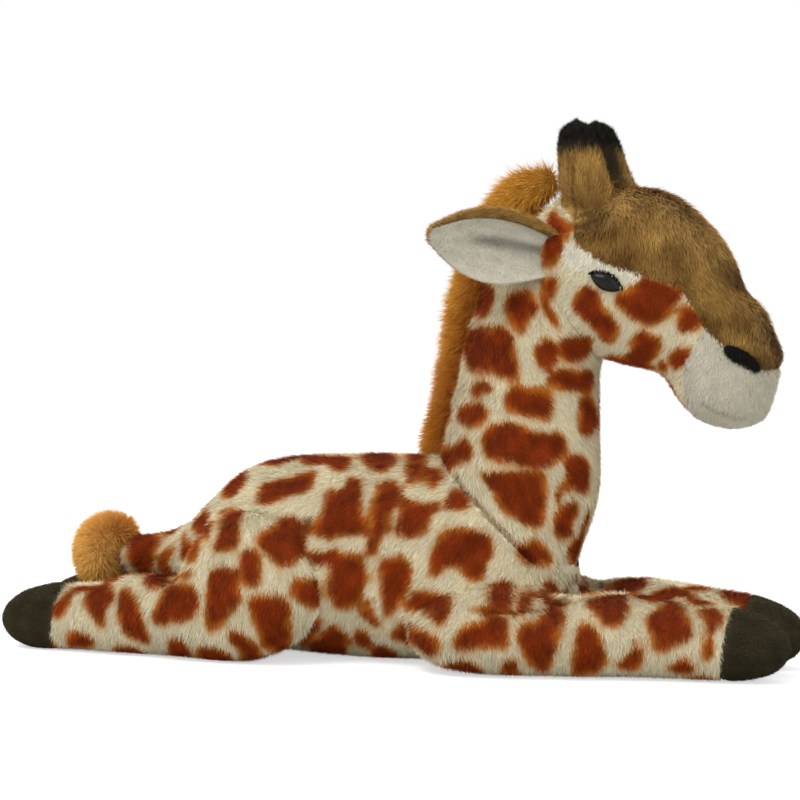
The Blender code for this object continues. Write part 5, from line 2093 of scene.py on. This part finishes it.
class GIRAFFE_OT_stage(bpy.types.Operator):
    """Set the floor, the lamps and the camera"""

    bl_idname = "giraffe.stage"
    bl_label = "Stage"

    def execute(self, context):
        scene = context.scene
        mesh = bpy.data.meshes.new("studio_floor")
        reach = FLOOR_REACH
        corners = [(-reach, -reach, 0), (reach, -reach, 0), (reach, reach, 0), (-reach, reach, 0)]
        mesh.from_pydata(corners, [], [(0, 1, 2, 3)])
        floor = bpy.data.objects.new("studio_floor", mesh)
        scene.collection.objects.link(floor)
        mesh.materials.append(floor_material())
        world = bpy.data.worlds.new("studio")
        scene.world = world
        world.use_nodes = True
        tree = world.node_tree
        sky = tree.nodes["Background"]
        set_inputs(sky, {"Color": (1, 1, 1, 1)})
        level = add_node(tree, "MapRange", values={"To Min": 0.74, "To Max": 1.0})
        link(tree, seen_by(tree, ("Camera", "Glossy", "Transmission")), level.inputs["Value"])
        link(tree, level.outputs["Result"], sky.inputs["Strength"])
        for name, place, size, power in LAMPS:
            lamp = bpy.data.lights.new(name, "AREA")
            lamp.size = size
            lamp.energy = power
            item = bpy.data.objects.new(name, lamp)
            item.location = place
            aim = Vector(CAMERA_TARGET) - Vector(place)
            item.rotation_euler = aim.to_track_quat("-Z", "Y").to_euler()
            scene.collection.objects.link(item)
        camera = bpy.data.cameras.new("camera")
        camera.sensor_width = SENSOR_WIDTH
        camera.lens = FOCAL_PIXELS / PICTURE_WIDTH * SENSOR_WIDTH
        camera.clip_start = 0.05
        view = bpy.data.objects.new("camera", camera)
        place, _, _, forward = camera_frame()
        view.location = place
        view.rotation_euler = Vector(forward).to_track_quat("-Z", "Y").to_euler()
        scene.collection.objects.link(view)
        scene.camera = view
        scene.view_settings.view_transform = "Standard"
        return {"FINISHED"}


def floor_material():
    """A white floor that the camera sees at full strength, except where the giraffe shades it."""
    material, tree, shader = new_material("studio_floor")
    white = (1, 1, 1, 1)
    set_inputs(shader, {"Base Color": (0.62, 0.62, 0.62, 1), "Roughness": 0.9, "Emission Color": white})
    lift = add_node(tree, "Math", "MULTIPLY", {1: 0.60})
    link(tree, seen_by(tree, ("Camera", "Glossy")), lift.inputs[0])
    link(tree, lift.outputs[0], shader.inputs["Emission Strength"])
    return material


OPERATORS = (
    GIRAFFE_OT_stage,
    GIRAFFE_OT_torso,
    GIRAFFE_OT_neck,
    GIRAFFE_OT_head,
    GIRAFFE_OT_eyes,
    GIRAFFE_OT_nose,
    GIRAFFE_OT_horns,
    GIRAFFE_OT_ears,
    GIRAFFE_OT_mane,
    GIRAFFE_OT_front_legs,
    GIRAFFE_OT_hind_legs,
    GIRAFFE_OT_tail,
    GIRAFFE_OT_inside,
)


class GIRAFFE_PT_panel(bpy.types.Panel):
    """The giraffe's pieces, sizes and colours"""

    bl_label = "Plush Giraffe"
    bl_idname = "GIRAFFE_PT_panel"
    bl_space_type = "VIEW_3D"
    bl_region_type = "UI"
    bl_category = "Giraffe"

    def draw(self, context):
        for settings in (context.scene.giraffe_pile, context.scene.giraffe_colours):
            box = self.layout.box()
            for name in settings.__annotations__:
                box.prop(settings, name)
        for operator in OPERATORS:
            self.layout.operator(operator.bl_idname)


CLASSES = (GiraffePile, GiraffeColours, *OPERATORS, GIRAFFE_PT_panel)


def register():
    """Register the classes and hang the settings on the scene."""
    for kind in CLASSES:
        bpy.utils.register_class(kind)
    bpy.types.Scene.giraffe_pile = PointerProperty(type=GiraffePile)
    bpy.types.Scene.giraffe_colours = PointerProperty(type=GiraffeColours)


def unregister():
    """Take the settings and the classes away."""
    del bpy.types.Scene.giraffe_pile
    del bpy.types.Scene.giraffe_colours
    for kind in reversed(CLASSES):
        bpy.utils.unregister_class(kind)


def main():
    """Build everything in order."""
    register()
    for operator in OPERATORS:
        group, name = operator.bl_idname.split(".")
        getattr(getattr(bpy.ops, group), name)()


if __name__ == "__main__":
    main()
